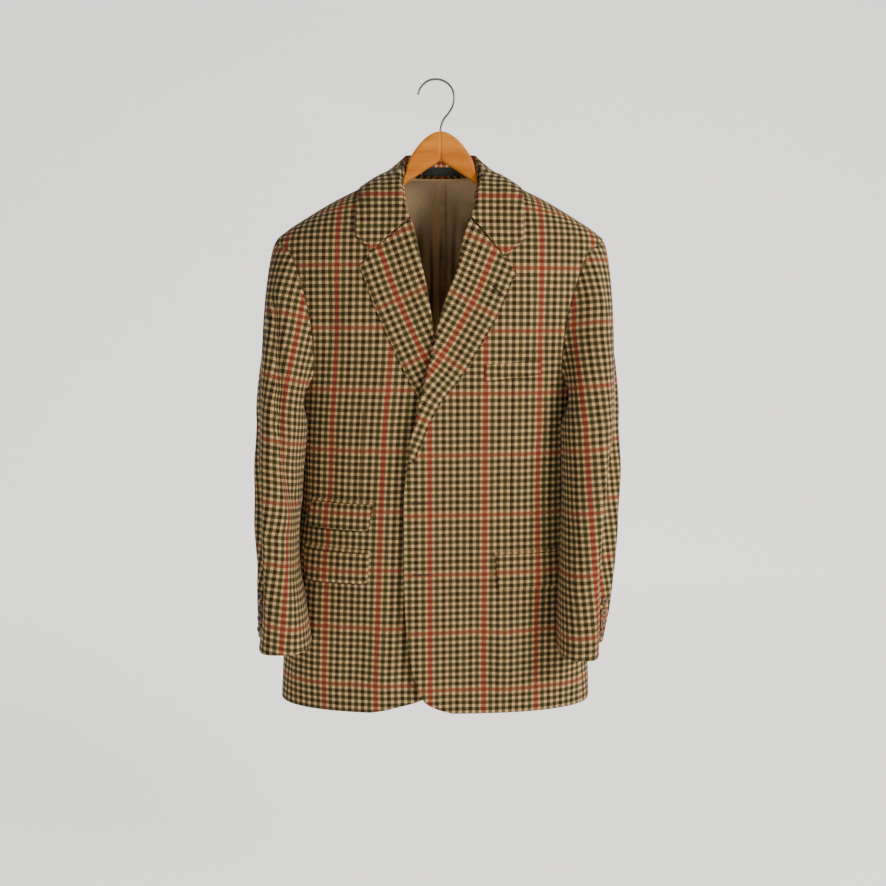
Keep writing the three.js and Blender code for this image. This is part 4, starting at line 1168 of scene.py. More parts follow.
def stand_off(points, clear):
    """Moves points out along the body's normal until they are `clear` of its form."""
    x, y, z = np.moveaxis(points, -1, 0)
    deep = np.where(y < 0, body["front"](z), body["back"](z))
    turn = np.degrees(np.arctan2((x - body["centre"](z)) / body["wide"](z), -y / deep))
    normal = form_normal(turn, z)
    off = ((points - form_point(turn, z)) * normal).sum(-1)
    return points + normal * np.maximum(clear - off, 0)[..., None]


def curve_through(at, knots, wanted):
    """A smooth curve through the knots, which lie at `at`."""
    slope = np.gradient(knots, at, axis=0)
    i = np.clip(np.searchsorted(at, wanted, "right") - 1, 0, len(at) - 2)
    width = (at[i + 1] - at[i])[:, None]
    t = (wanted - at[i])[:, None] / width
    straight = mix(knots[i], knots[i + 1], t * t * (3 - 2 * t))
    return straight + width * t * (1 - t) * ((1 - t) * slope[i] - t * slope[i + 1])


def collar_knots(way):
    at = abs(way)
    sign = -1 if way < 0 else 1
    side = "left" if sign > 0 else "right"
    fold_x = COLLAR_MIDDLE + sign * collar["fold_x"](at)
    fold = np.array([fold_x, collar["fold_y"](at), collar["fold_z"](at)])
    place, normal = neck_seam(side, collar["rail"](at))
    edge = body_point(sign * collar["edge_turn"](at), collar["edge_z"](at), COLLAR_REST)
    out = unit((edge - fold) * (1, 1, 0))
    foot = place - normal * WALL / 2
    foot = foot + unit(fold - foot) * FOOT_GAP
    inner = fold - out * FOLD_INNER - (0, 0, FOLD_DROP)
    outer = fold + out * FOLD_OUTER - (0, 0, FOLD_OUTER_DROP)
    bulge = stand_off((outer + edge) / 2, COLLAR_REST + BULGE)
    return side, [foot, mix(foot, inner, STAND_BEND), inner, fold, outer, bulge, edge]


def collar_section(way, steps):
    """The collar's middle face across one section, at each step from the stand's foot to the edge."""
    side, knots = collar_knots(way)
    points = curve_through(FOLD_KNOTS, np.array(knots), steps)
    points = np.where((steps > CURL_STEPS)[:, None], stand_off(points, COLLAR_REST), points)
    at = abs(way)
    blend = ease((at - 1 + GORGE_BLEND) / GORGE_BLEND)
    if blend == 0:
        return points
    corner = np.array(COLLAR_CORNER[side], float)
    edge = knots[-1]
    end = mix(edge[[0, 2]], corner, blend)
    roll = np.array(roll_point(side, neck_rail(collar["rail"](at))))
    gorge = gorge_path(side, corner, -SEAM)
    first, last = gorge(np.zeros(1)), gorge(np.ones(1))

    def path(share):
        bend = gorge(share) - mix(first, last, share[:, None])
        return mix(roll, end, share[:, None]) + bend * blend ** 2

    laid, _ = turned_back(side, roll, path, GORGE_HEIGHT, steps)
    points = mix(points, laid, blend)
    return np.where((steps > CURL_STEPS)[:, None], stand_off(points, COLLAR_REST), points)


print("nape:", collar_section(0, np.array([0.0, 3.0, 9.0])).round(1).tolist())

# %% The collar
COLLAR_ENDS = np.array([0.988, 0.994, 0.998, 1])
COLLAR_WAYS = np.concatenate([-COLLAR_ENDS[::-1], np.linspace(-0.98, 0.98, 150), COLLAR_ENDS])
COLLAR_ACROSS = np.concatenate(
    [[0, 0.04, 0.1], np.linspace(0.2, 3.6, 18), FLAT_ACROSS[:-1] - 0.2, EDGE_ACROSS]
)
COLLAR_RED_Z = {"left": -177, "right": -174}
COLLAR_TURNS = (0.42, 0.72)  # of the half collar, between which its grain turns from across to down


def make_collar():
    points = np.array([collar_section(way, COLLAR_ACROSS) for way in COLLAR_WAYS])
    fold = int(abs(COLLAR_ACROSS - FOLD_KNOTS[3]).argmin())
    fall = (fold + points.shape[1]) // 2
    side = np.sign(COLLAR_WAYS)[:, None, None]
    low, high = COLLAR_TURNS
    turn = np.pi / 2 * ease((abs(COLLAR_WAYS) - low) / (high - low))
    cosine, sine = np.cos(turn)[:, None, None], np.sin(turn)[:, None, None]
    normal = grid_normals(points[:, ::-1])[:, ::-1]
    level = unit(np.cross((0, 0, 1.0), normal))
    up = np.cross(normal, level)
    ways = (-cosine * level - side * sine * up, cosine * up - side * sine * level)
    run = summed(np.linalg.norm(np.diff(points, axis=1), axis=-1))
    uv = []
    for way in ways:
        along = (np.diff(points[:, fall], axis=0) * (way[1:, fall] + way[:-1, fall]) / 2).sum(-1)
        across = (np.diff(points, axis=1) * (way[:, 1:] + way[:, :-1]) / 2).sum(-1)
        flat = summed(across)
        flat += np.insert(np.cumsum(along), 0, 0)[:, None] - flat[:, fall:fall + 1]
        flat[:, :fold] = flat[:, fold:fold + 1]
        uv.append(flat)
    u, v = uv
    v[:, :fold] += (run[:, fold:fold + 1] - run)[:, :fold]
    v += TAN_WEFT
    line = points[:, fall]
    for name, sign in SIGN.items():
        half = COLLAR_WAYS * sign > 0
        order = np.argsort(line[half, 2])
        u[half] -= np.interp(COLLAR_RED_Z[name], line[half, 2][order], u[half, fall][order])
    uv = np.stack([u, v], -1)
    piece = add_wall("cloth_collar", points[:, ::-1], uv[:, ::-1], inset=0, wall=COLLAR_WALL)
    sew(piece, uv, "collar")


make_collar()

# %% [markdown]
# ## Sleeves
# A sleeve leaves the armhole at a lean, rounds over its cap and falls to the cuff as two panels,
# a top and an under one. Behind the arm's front it folds back in a long soft fold, which makes a
# shelf down its outside. `around` is degrees round its level section, from its front outwards.
# A bent cylinder would not reach the armhole cleanly, so each column of points starts on the
# armhole's own edge, and a curve with a set lean carries it over the cap to the level tube.

# %% The sleeves' sections
SLEEVES = {
    "left": table("z x y inward outward behind deep", """
        -520 238 -36 50 34 60 76
        -600 240 -50 48 18 63 68
        -680 238 -60 47 15 60 63
        -735 235 -66 45 14 60 60
        -800 230 -76 43 20 61 56
        -868 224 -84 37 26 53 54
    """),
    "right": table("z x y inward outward behind deep", """
        -520 -243 -26 45 30 55 80
        -600 -250 -44 41 20 53 74
        -680 -251 -57 35 16 48 70
        -735 -248 -66 32 16 47 66
        -800 -243 -76 38 24 56 59
        -860 -240 -84 44 36 60 52
    """),
}
sleeves = {side: tracks(rows, "z") for side, rows in SLEEVES.items()}
CAP_Z = -520
CUFF_Z = {"left": -868, "right": -860}
seams = tracks(table("along hind fore", """
    0   155 -62
    0.3 155 -62
    1   150 -80
    2   150 -95
"""), "along")
cap_lean = track(table("round lean", """
      0 -6
     60 42
    110 55
    180 50
    250 50
    310 36
    360 -6
"""), "round", "lean")
CAP_LEAVE = 0.45  # of its reach, how strongly the cap leaves the armhole
CAP_LAND = 0.75  # and how strongly it comes down on the level tube
CAP_CLEARS = 0.5  # of the cap, over which its clearance grows
CAP_INSET = 0.3
SLEEVE_CLEARANCE = 4.5
SECTION_SQUARE = (0.58, 0.8)  # powers of its width: the pressed front is squarer than the back
FOLD_BACK = (12, 40)  # behind the section's middle, where the long fold's shelf runs out
HIND_ROUND = 295  # degrees round the armhole, where the hind seam starts
ARM_SEAM = 0.2


def section_point(side, along, around):
    form = sleeves[side]
    z = mix(CAP_Z, CUFF_Z[side], along - 1)
    sine = np.sin(np.radians(around))
    back = -form["deep"](z) * np.cos(np.radians(around))
    shelf = ease((back - FOLD_BACK[0]) / (FOLD_BACK[1] - FOLD_BACK[0]))
    outward = mix(form["outward"](z), form["behind"](z), shelf)
    reach = np.where(sine > 0, outward, form["inward"](z))
    square = np.where(back < 0, *SECTION_SQUARE)
    x = form["x"](z) + SIGN[side] * reach * np.sign(sine) * abs(sine) ** square
    return np.stack(np.broadcast_arrays(x, form["y"](z) + back, z), -1)


def clear_of_body(points, side, clearance):
    """Moves points outwards until they are `clearance` from the form's sides."""
    x, y, z = np.moveaxis(points, -1, 0)
    deep = np.where(y < 0, body["front"](z), body["back"](z))
    square = body["square"](z)
    share = np.minimum(abs(y) / (deep + clearance), 1) ** square
    reach = (body["wide"](z) + clearance) * (1 - share) ** (1 / square)
    off = SIGN[side] * (x - body["centre"](z))
    moved = points.copy()
    moved[..., 0] += SIGN[side] * np.maximum(reach - off, 0)
    return moved


def armhole_frame(side, degrees):
    """The armhole's edge, with the ways out of the cloth and into the hole."""
    def at(shifted):
        turn, z = armhole_at(shifted % 360)
        return SIGN[side] * turn, z
    tangent = unit(form_point(*at(degrees + 1)) - form_point(*at(degrees - 1)))
    normal = form_normal(*at(degrees))
    return form_point(*at(degrees)), normal, unit(np.cross(normal, tangent)) * SIGN[side]


def sleeve_point(side, along, around):
    along, around = np.broadcast_arrays(np.asarray(along, float), around)
    tube = clear_of_body(section_point(side, np.maximum(along, 1), around), side, SLEEVE_CLEARANCE)
    degrees = (450 - around) % 360
    place, normal, inward = armhole_frame(side, degrees)
    end = clear_of_body(section_point(side, np.ones(along.shape), around), side, SLEEVE_CLEARANCE)
    start = place + inward * CAP_INSET
    reach = np.linalg.norm(end - start, axis=-1)[..., None]
    lean = np.radians(cap_lean(degrees))[..., None]
    leave = (inward * np.cos(lean) + normal * np.sin(lean)) * CAP_LEAVE * reach
    land = np.array([0, 0, -CAP_LAND]) * reach
    t = np.minimum(along, 1)[..., None]
    cap = start * (1 + 2 * t) * (1 - t) ** 2 + leave * t * (1 - t) ** 2
    cap = cap + end * t * t * (3 - 2 * t) + land * t * t * (t - 1)
    cap = clear_of_body(cap, side, SLEEVE_CLEARANCE * ease(np.minimum(along, 1) / CAP_CLEARS))
    return np.where((along < 1)[..., None], cap, tube)


def sleeve_normal(side, along, around):
    across = sleeve_point(side, along, around + 1) - sleeve_point(side, along, around - 1)
    down = sleeve_point(side, along + 0.01, around) - sleeve_point(side, along - 0.01, around)
    return unit(np.cross(across, down)) * -SIGN[side]


def sleeve_column(degrees, along):
    """The degrees round the section of the column that starts at `degrees` round the armhole."""
    start = (450 - degrees) % 360
    start = np.where(start > 270, start - 360, start)
    hind, fore = seams["hind"](along), seams["fore"](along)
    high, low = float(seams["hind"](0)), float(seams["fore"](0))
    top = mix(hind, fore, (high - start) / (high - low))
    below = np.where(start > high, start - 360, start)
    under = mix(fore, hind - 360, (low - below) / (low - high + 360))
    return np.where((start <= high) & (start >= low), top, under)


print("left cuff's front:", sleeve_point("left", np.array([2.0]), np.array([0.0]))[0].round(1), "mm")

# %% Creases of the sleeves
# Each by around and along for three points, then its width and depth. The first on each sleeve
# runs down its front, and the second is the crisp edge of the long fold's shelf.
SLEEVE_CREASES = {
    "left": [
        ((40, 1.15), (62, 1.5), (66, 1.9), 6, -2.2),
        ((97, 0.8), (98, 1.35), (96, 1.98), 4, -4.0),
        ((-30, 0.75), (-18, 1.0), (-12, 1.3), 15, -2.2),
        ((-4, 0.9), (6, 1.2), (16, 1.5), 16, 2.4),
        ((20, 0.5), (36, 0.8), (50, 1.1), 14, -1.6),
        ((-46, 1.35), (-30, 1.5), (-8, 1.62), 11, -2.0),
        ((-40, 1.62), (-22, 1.72), (0, 1.8), 10, 1.6),
        ((120, 0.9), (112, 1.2), (118, 1.5), 14, -2.6),
        ((132, 1.2), (126, 1.5), (130, 1.85), 13, 2.0),
        ((170, 0.9), (182, 1.2), (176, 1.5), 15, -2.4),
        ((200, 1.3), (196, 1.6), (204, 1.9), 14, 1.8),
    ],
    "right": [
        ((40, 1.15), (62, 1.5), (66, 1.9), 6, -2.2),
        ((97, 0.8), (98, 1.35), (96, 1.98), 4, -4.0),
        ((8, 0.8), (0, 1.0), (-12, 1.2), 14, 2.4),
        ((-34, 0.8), (-40, 1.0), (-44, 1.25), 14, -1.8),
        ((10, 1.45), (-2, 1.6), (-6, 1.85), 13, -1.6),
        ((28, 1.5), (20, 1.65), (22, 1.9), 13, 1.8),
        ((20, 0.5), (36, 0.8), (50, 1.1), 14, -1.6),
        ((122, 0.9), (116, 1.2), (120, 1.5), 14, -2.6),
        ((134, 1.2), (128, 1.5), (132, 1.85), 13, 2.0),
        ((172, 0.9), (180, 1.2), (174, 1.5), 15, -2.4),
        ((202, 1.3), (198, 1.6), (206, 1.9), 14, 1.8),
    ],
}
# The deep crease down the wearer's right sleeve, by z and x, and the cloth it takes up.
deep_crease = tracks(table("z x depth width taken", """
    -300 -252 0   5   0
    -330 -246 4   6  10
    -380 -240 7   7  18
    -435 -237 8   7  21
    -519 -234 8   7  21
    -591 -225 7   7  18
    -642 -216 4   7   9
    -680 -208 0   7   0
"""), "z")
DEEP_CREASE_FROM = -20  # in front of the section's middle, where it fades out
DEEP_CREASE_FADE = 20
DEEP_CREASE_TAKES = 10  # across it, over which the cloth is taken up


def sleeve_creases(side):
    creases = []
    for *points, width, depth in SLEEVE_CREASES[side]:
        around, along = np.array(points, float).T
        creases.append((sleeve_point(side, along, around), width, depth))
    return creases


print("creases on the sleeves:", {side: len(rows) for side, rows in SLEEVE_CREASES.items()})

# %% The sleeves' check
# x of the red warp stripe down the front of each sleeve.
sleeve_red = {
    "left": track(table("z x", """
        -300 196
        -325 200
        -553 222
        -645 229
        -740 237
        -791 241
        -868 244
    """), "z", "x"),
    "right": track(table("z x", """
        -300 -197
        -360 -206
        -447 -222
        -495 -229
        -570 -229
        -635 -224
        -732 -225
        -828 -232
        -870 -236
    """), "z", "x"),
}
SLEEVE_RED_SPAN = (-845, -350)  # z between which the red stripe is followed
SMOOTHING = 15  # level lines
LEVEL_STEP = 3.0
SLEEVE_RED_WEFT_Z = {"left": -645, "right": -633}
SLEEVE_TILT = {"left": -0.12, "right": 0.22}  # of the weft, up towards the outside
TILT_REACH = 45  # across the sleeve, where the tilt eases off


def level_lines(points, column):
    """Level lines round a sleeve panel: their heights, their places at each column, and the length
    along each from the given column. The panel's rows run up the sleeve."""
    x, y, z = np.moveaxis(points, -1, 0)
    heights = np.arange(z.min(), z.max() + LEVEL_STEP, LEVEL_STEP)
    columns = range(points.shape[1])
    places = [[np.interp(heights, z[:, c], part[:, c]) for c in columns] for part in (x, y)]
    places = np.array(places).T
    run = summed(np.linalg.norm(np.diff(places, axis=1), axis=-1))
    return heights, places, run - run[:, column:column + 1]


def red_run(side, points, heights, places, run):
    """Where the red stripe lies on each level line, smoothed from line to line."""
    tops = points[..., 2].max(0)
    low, high = SLEEVE_RED_SPAN
    known = (heights > low) & (heights < high)
    found = []
    for z, lengths, place in zip(heights[known], run[known], places[known]):
        ahead = (place[:, 1] < place[:, 1].mean()) & (tops >= z)
        order = np.argsort(place[ahead, 0])
        found.append(np.interp(sleeve_red[side](z), place[ahead, 0][order], lengths[ahead][order]))
    filled = np.interp(heights, heights[known], found)
    padded = np.pad(filled, SMOOTHING // 2, mode="edge")
    return np.convolve(padded, np.ones(SMOOTHING) / SMOOTHING, "valid")


def sleeve_cut(side, points, column, front):
    """A panel's flat place: round its level lines, and up it. A front's starts at its red stripe."""
    heights, places, run = level_lines(points, column)
    z = points[..., 2]
    if front:
        run = run - red_run(side, points, heights, places, run)[:, None]
    u = np.array([np.interp(z[:, c], heights, run[:, c]) for c in range(z.shape[1])]).T
    steep = 1 / np.sqrt(1 - np.minimum(grid_normals(points)[..., 2] ** 2, 0.9))
    rise = np.array([np.median(steep[abs(z - height) < 2 * LEVEL_STEP]) for height in heights])
    climb = np.r_[0, np.cumsum((rise[1:] + rise[:-1]) / 2 * np.diff(heights))]
    v = np.interp(z, heights, climb - np.interp(SLEEVE_RED_WEFT_Z[side], heights, climb))
    if front:
        v = v + SLEEVE_TILT[side] * TILT_REACH * np.tanh(u / TILT_REACH)
    return np.stack([u, v], -1)


print("red weft on the sleeves at", SLEEVE_RED_WEFT_Z, "mm")

# %% The sleeves' panels
SLEEVE_CENTRE = {"top": 60, "under": -150}  # degrees round, where the cap's grain runs straight up
ELBOW = 1.4  # along


def sleeve_columns(low, high):
    """Rounds of the armhole from low to high, spaced evenly round the sleeve at its elbow."""
    def elbow(degrees):
        return section_point("left", ELBOW, sleeve_column(degrees % 360, ELBOW))
    return spaced_along(elbow, low, high) % 360


def sleeve_rows(side):
    def outside(along):
        return sleeve_point(side, along, float(SLEEVE_CENTRE["top"]))
    return spaced_along(outside, 0, 2)[::-1, None]


def make_sleeve(side, name, low, high):
    degrees = sleeve_columns(low, high)
    along = sleeve_rows(side)
    around = sleeve_column(degrees, along)
    step = sleeve_point(side, along, around + 0.5) - sleeve_point(side, along, around - 0.5)
    width = np.linalg.norm(step, axis=-1)
    inset = np.zeros(len(degrees))
    inset[0], inset[-1] = -ARM_SEAM, ARM_SEAM
    around = around + inset / width
    points = sleeve_point(side, along, around)
    normals = sleeve_normal(side, along, around)
    turned = (grid_normals(points) * normals).sum(-1).mean() < 0
    if turned:
        points, normals = points[:, ::-1], normals[:, ::-1]
    column = int(abs(around[len(around) // 2] - SLEEVE_CENTRE[name]).argmin())
    column = len(degrees) - 1 - column if turned else column
    uv = sleeve_cut(side, points, column, name == "top")
    if side == "right":
        x, y, z = np.moveaxis(points, -1, 0)
        off = x - deep_crease["x"](z)
        ahead = ease((DEEP_CREASE_FROM - (y - sleeves[side]["y"](z))) / DEEP_CREASE_FADE)
        trough = deep_crease["depth"](z) * ahead * np.exp(-((off / deep_crease["width"](z)) ** 2))
        uv[..., 0] += deep_crease["taken"](z) * ahead * (ease(off / DEEP_CREASE_TAKES + 0.5) - 1)
        points = points - normals * trough[..., None]
    points = creased(points, normals, sleeve_creases(side))
    piece = add_wall(f"cloth_sleeve_{side}_{name}", points, uv, materials=(tweed, lining))
    sew(piece, uv, f"sleeve_{side}_{name}")


for side in SIGN:
    make_sleeve(side, "top", HIND_ROUND, 360 + FRONT_CORNER)
    make_sleeve(side, "under", FRONT_CORNER, HIND_ROUND)

# %% [markdown]
# ## Pockets
# Three flaps hang below their jets, and a welt crosses the breast. Each is laid on the front, and
# its check is matched to the front's, a little off, as a cutter does it by hand. They could be
# drawn on the front by a bump, but a flap's foot stands off and casts a shadow, so each is cloth.

# %% Pocket pieces
# By x and z on the fronts: the top edge from the middle outwards, the foot, and how far its check
# is off the front's.
FLAPS = {
    "hip_right": ("right", ((-104, -717), (-208, -714)), ((-107, -765), (-207, -765)), (2, 2)),
    "ticket_right": ("right", ((-97, -640), (-194, -639)), ((-103, -681), (-204, -679)), (3, 4)),
    "hip_left": ("left", ((89, -719), (199, -718)), ((93, -773), (197, -772)), (1, -3)),
}
WELT = (((72, -427), (156, -419)), ((72, -450), (156, -442)))
WELT_SHIFT = (1.5, 3)
FLAP_CORNER = 8
FLAP_WALL = 2.2
FLAP_PUFF = 3.2
JET_WALL = 1.6
JET_HIGH = 5
JET_ABOVE = 0.3
JET_TURNED = 0.0055
SHARP = 0.1  # the corners of a jet and of the welt
FINE_STEP = 3.0


def pocket_face(top, foot, radius, across, down):
    top, foot = np.array(top, float), np.array(foot, float)
    width = np.linalg.norm(foot[1] - foot[0])
    near = np.maximum(radius - width * np.minimum(across, 1 - across), 0)
    raised = radius - np.sqrt(radius ** 2 - near ** 2)
    upper = mix(top[0], top[1], across[:, None])
    lower = mix(foot[0], foot[1], across[:, None]) + raised[:, None] * (0, 1)
    return mix(lower, upper, down[:, None, None])


def make_laid(name, node, side, face, wall, shift=(0, 0), puff=0.0, turned=0.0):
    """A piece laid on a front, with its foot standing off by `puff`."""
    if side == "right":
        face = face[:, ::-1]
    rows, columns = face.shape[:2]
    bow = 0.7 + 0.3 * np.sin(np.pi * np.linspace(0, 1, columns))
    swell = bow * np.sin(np.pi * np.linspace(0.5, 0, rows))[:, None]
    points = front_by_x(side, face[..., 0], face[..., 1], LAY + wall + puff * swell)
    uv = front_cut(side, turn_at(face[..., 0], face[..., 1]), face[..., 1]) + shift
    if turned:
        uv[..., 1] += TAN_WEFT - uv[..., 1].mean(0)
    piece = add_wall(name, points, uv, inset=wall / 2, wall=wall)
    sew(piece, uv, node, turned=turned)


for name, (side, top, foot, shift) in FLAPS.items():
    across = spaced(108, FINE_STEP)
    face = pocket_face(top, foot, FLAP_CORNER, across, spaced(54, FINE_STEP))
    make_laid(f"cloth_flap_{name}", f"flap_{name}", side, face, FLAP_WALL, shift, puff=FLAP_PUFF)
    above = np.array(top, float) + (0, JET_ABOVE)
    face = pocket_face(above + (0, JET_HIGH), above, SHARP, across, spaced(JET_HIGH, 1.0))
    make_laid(f"cloth_jet_{name}", f"jet_{name}", side, face, JET_WALL, turned=JET_TURNED)
face = pocket_face(*WELT, SHARP, spaced(84, FINE_STEP), spaced(23, FINE_STEP))
make_laid("cloth_breast_welt", "breast_welt", "left", face, WALL, WELT_SHIFT)

# %% [markdown]
# ## Buttons and buttonholes
# The buttons are turned horn with a dished face, sewn on with crossed thread. Two worked
# buttonholes cross the left front, and one the left lapel. A turned shape is a pile of rings, so
# one helper makes rings into a body, and buttons, threads, the hook and the hanger all use it.

# %% Solids made of rings
def add_rings(name, rings, material):
    """A closed body through rings of as many points each."""
    count = len(rings[0])
    faces = []
    for row in range(len(rings) - 1):
        for i in range(count):
            a, b = row * count + i, row * count + (i + 1) % count
            faces.append((a, b, b + count, a + count))
    last = (len(rings) - 1) * count
    faces += [tuple(range(count))[::-1], tuple(range(last, last + count))]
    return add_piece(name, np.concatenate(rings), faces, [material])


def frame_of(normal):
    """Two directions across a normal, that make a right-handed frame with it."""
    across = unit(np.cross((0.0, 0.0, 1.0), normal))
    return across, np.cross(normal, across)


def add_tube(name, line, radius, material, rounds=10):
    """A round body along a line of points, closed at both ends."""
    line = np.asarray(line, float)
    along = unit(np.gradient(line, axis=0))
    side = (0.0, 1.0, 0.0) if abs(along[:, 1]).max() < 0.9 else (0.0, 0.0, 1.0)
    across = unit(np.cross(along, side))
    up = np.cross(across, along)
    angle = np.arange(rounds) / rounds * 2 * np.pi
    rings = [
        middle + radius * (np.cos(angle)[:, None] * a + np.sin(angle)[:, None] * b)
        for middle, a, b in zip(line, across, up)
    ]
    return add_rings(name, rings, material)


print("across a button that faces the front:", frame_of(np.array([0.0, -1.0, 0.0]))[0])

# %% Buttons
# A button's turned outline, as shares of its radius and of its height.
BUTTON_OUTLINE = table("wide up", """
    0.80 0
    0.93 0.10
    0.99 0.30
    1.00 0.50
    0.98 0.72
    0.92 0.92
    0.85 1.00
    0.78 0.97
    0.72 0.84
    0.66 0.72
    0.50 0.66
    0.22 0.64
    0.05 0.64
""")
BUTTON_ROUNDS = 32
STITCHES = (((-1, -1), (1, 1)), ((-1, 1), (1, -1)))
STITCH_REACH = 0.30  # of the radius, that its ends lie out each way
STITCH_FOOT = 0.62  # of the height, where it leaves the face
STITCH_RISE = 0.5
STITCH_RADIUS = 0.45
CUFF_BUTTON = {"radius": 6.3, "high": 2.8, "rise": 0.8, "first": 66, "pitch": 17, "around": 116}
FRONT_BUTTON = {"radius": 10, "high": 3.2, "rise": 0.5, "x": -2}
FRONT_BUTTON_Z = (-637, -748)


def make_button(node, place, normal, sizes):
    """A button whose axis lies along `normal`, and the two crossed stitches that hold it."""
    name = f"horn_{node}"
    across, up = frame_of(normal)
    angle = np.arange(BUTTON_ROUNDS) / BUTTON_ROUNDS * 2 * np.pi
    circle = np.cos(angle)[:, None] * across + np.sin(angle)[:, None] * up
    radius, high = sizes["radius"], sizes["high"]
    base = place + normal * sizes["rise"]
    outline = zip(BUTTON_OUTLINE["wide"], BUTTON_OUTLINE["up"])
    rings = [base + circle * radius * w + normal * high * h for w, h in outline]
    dress(add_rings(name, rings, horn), [node])
    share = np.linspace(0, 1, 9)[:, None]
    rise = high * STITCH_FOOT + STITCH_RISE * np.sin(np.pi * share) ** 0.5
    for number, ends in enumerate(STITCHES):
        flat = mix(*np.array(ends, float), share) * radius * STITCH_REACH
        line = base + flat[:, :1] * across + flat[:, 1:] * up + rise * normal
        stitch = add_tube(f"{name}_thread_{number + 1}", line, STITCH_RADIUS, thread, 8)
        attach(stitch, "root")


for side in SIGN:
    for number in range(4):
        z = CUFF_Z[side] + CUFF_BUTTON["first"] - CUFF_BUTTON["pitch"] * number
        along = np.array([1 + (z - CAP_Z) / (CUFF_Z[side] - CAP_Z)])
        around = np.array([float(CUFF_BUTTON["around"])])
        place = sleeve_point(side, along, around)[0]
        normal = sleeve_normal(side, along, around)[0]
        make_button(f"cuff_button_{side}_{number + 1}", place, normal, CUFF_BUTTON)
for number, z in enumerate(FRONT_BUTTON_Z):
    x = FRONT_BUTTON["x"]
    normal = form_normal(turn_at(x, z), float(z))
    make_button(f"front_button_{number + 1}", front_by_x("right", x, z, 0), normal, FRONT_BUTTON)
horns = [o.name for o in bpy.data.objects if o.name.startswith("horn_")]
print("buttons:", sum("thread" not in name for name in horns))

# %% Buttonholes
BUTTONHOLES = {
    # ends by x and z on the left front, and how far the cloth there stands out
    "upper": ((-38, -637), (-17, -637), 0),
    "lower": ((-37, -748), (-12, -748), 0),
    "lapel": ((82, -310), (97, -324), 3.4),
}
HOLE_HALF = 0.75
HOLE_RISE = 0.15
HOLE_THREAD = 0.6
for name, (start, end, out) in BUTTONHOLES.items():
    start, end = np.array(start, float), np.array(end, float)
    way = unit(end - start)
    off = np.array([-way[1], way[0]]) * HOLE_HALF
    share = np.linspace(0, 1, 14)[:, None]
    there, back = mix(start, end, share) + off, mix(end, start, share) - off
    loop = np.concatenate([there, [end + way * HOLE_HALF], back])
    line = front_by_x("left", loop[:, 0], loop[:, 1], out + HOLE_RISE)
    piece = add_tube(f"buttonhole_{name}", line, HOLE_THREAD, thread, 8)
    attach(piece, "root")
print("buttonholes:", list(BUTTONHOLES))

# %% [markdown]
# ## Lining and label
# The back is lined in two halves, and the wearer's right one laps over the left in a centre
# pleat, whose free edge stands off. The satin hangs in soft upright folds, placed like the
# creases of the coat. A bare label is sewn to the collar stand, and follows its curve.

# %% The lining
LINING_WALL = 1.0
LINING_TOP = 2.95  # the rail where it ends, just below the neck
LINING_HEM = 23  # how far its hem lies above the back's
LINING_WIDE = 215
LINING_SHARE = 7 / 8  # of the back's half
LINING_STEP = 2.6
LINING_GAP = 0.95
LINING_PLEAT = 9  # how far the right half laps past the centre
LINING_LAP = LINING_WALL + 0.6  # how far it lies inside the left half there
LAP_SHARE = 0.04  # of the back's half, over which it comes back out
PLEAT_WAYS = [-1, -0.94, -0.8, -0.6, -0.4, -0.2]  # across the pleat, from its free edge
PLEAT_LIFT = 6  # how far the pleat's free edge stands off
PLEAT_WIDE = 24  # from the free edge, over which it stands off
PLEAT_FROM = -150  # the height where it starts to stand off
PLEAT_GROWS = 90  # below that, until it stands off fully
FOLD_IN = -4  # where a fold's line lies, from the form
FOLD_RISE = 1.6  # times the depth in the list
# Folds by x and z at three points, then width and depth towards the wearer.
LINING_FOLDS = [
    ((-34, -175), (-38, -290), (-33, -430), 9, 5.5),
    ((-15, -195), (-13, -290), (-17, -440), 5, 5.0),
    ((3, -190), (2, -290), (4, -420), 5, 4.5),
    ((24, -160), (21, -280), (25, -420), 6, 4.0),
    ((37, -180), (42, -300), (36, -450), 8, 5.5),
    ((62, -200), (58, -320), (64, -460), 12, 5.0),
    ((-62, -200), (-66, -330), (-60, -470), 12, 5.0),
    ((-100, -240), (-96, -400), (-104, -560), 15, 5.0),
    ((100, -240), (104, -400), (97, -560), 15, 5.0),
    ((-30, -520), (-36, -680), (-31, -860), 14, 5.0),
    ((32, -540), (38, -700), (33, -880), 14, 5.0),
    ((-90, -600), (-96, -760), (-90, -920), 16, 5.0),
    ((92, -620), (98, -760), (91, -920), 16, 5.0),
]


def back_turn_at(x, z):
    front = turn_at(x, z)
    return np.sign(front) * (180 - abs(front))


def lining_folds():
    folds = []
    for *points, width, depth in LINING_FOLDS:
        line = [body_point(back_turn_at(x, z), z, FOLD_IN) for x, z in np.array(points, float)]
        folds.append((line, width, -FOLD_RISE * depth))
    return folds


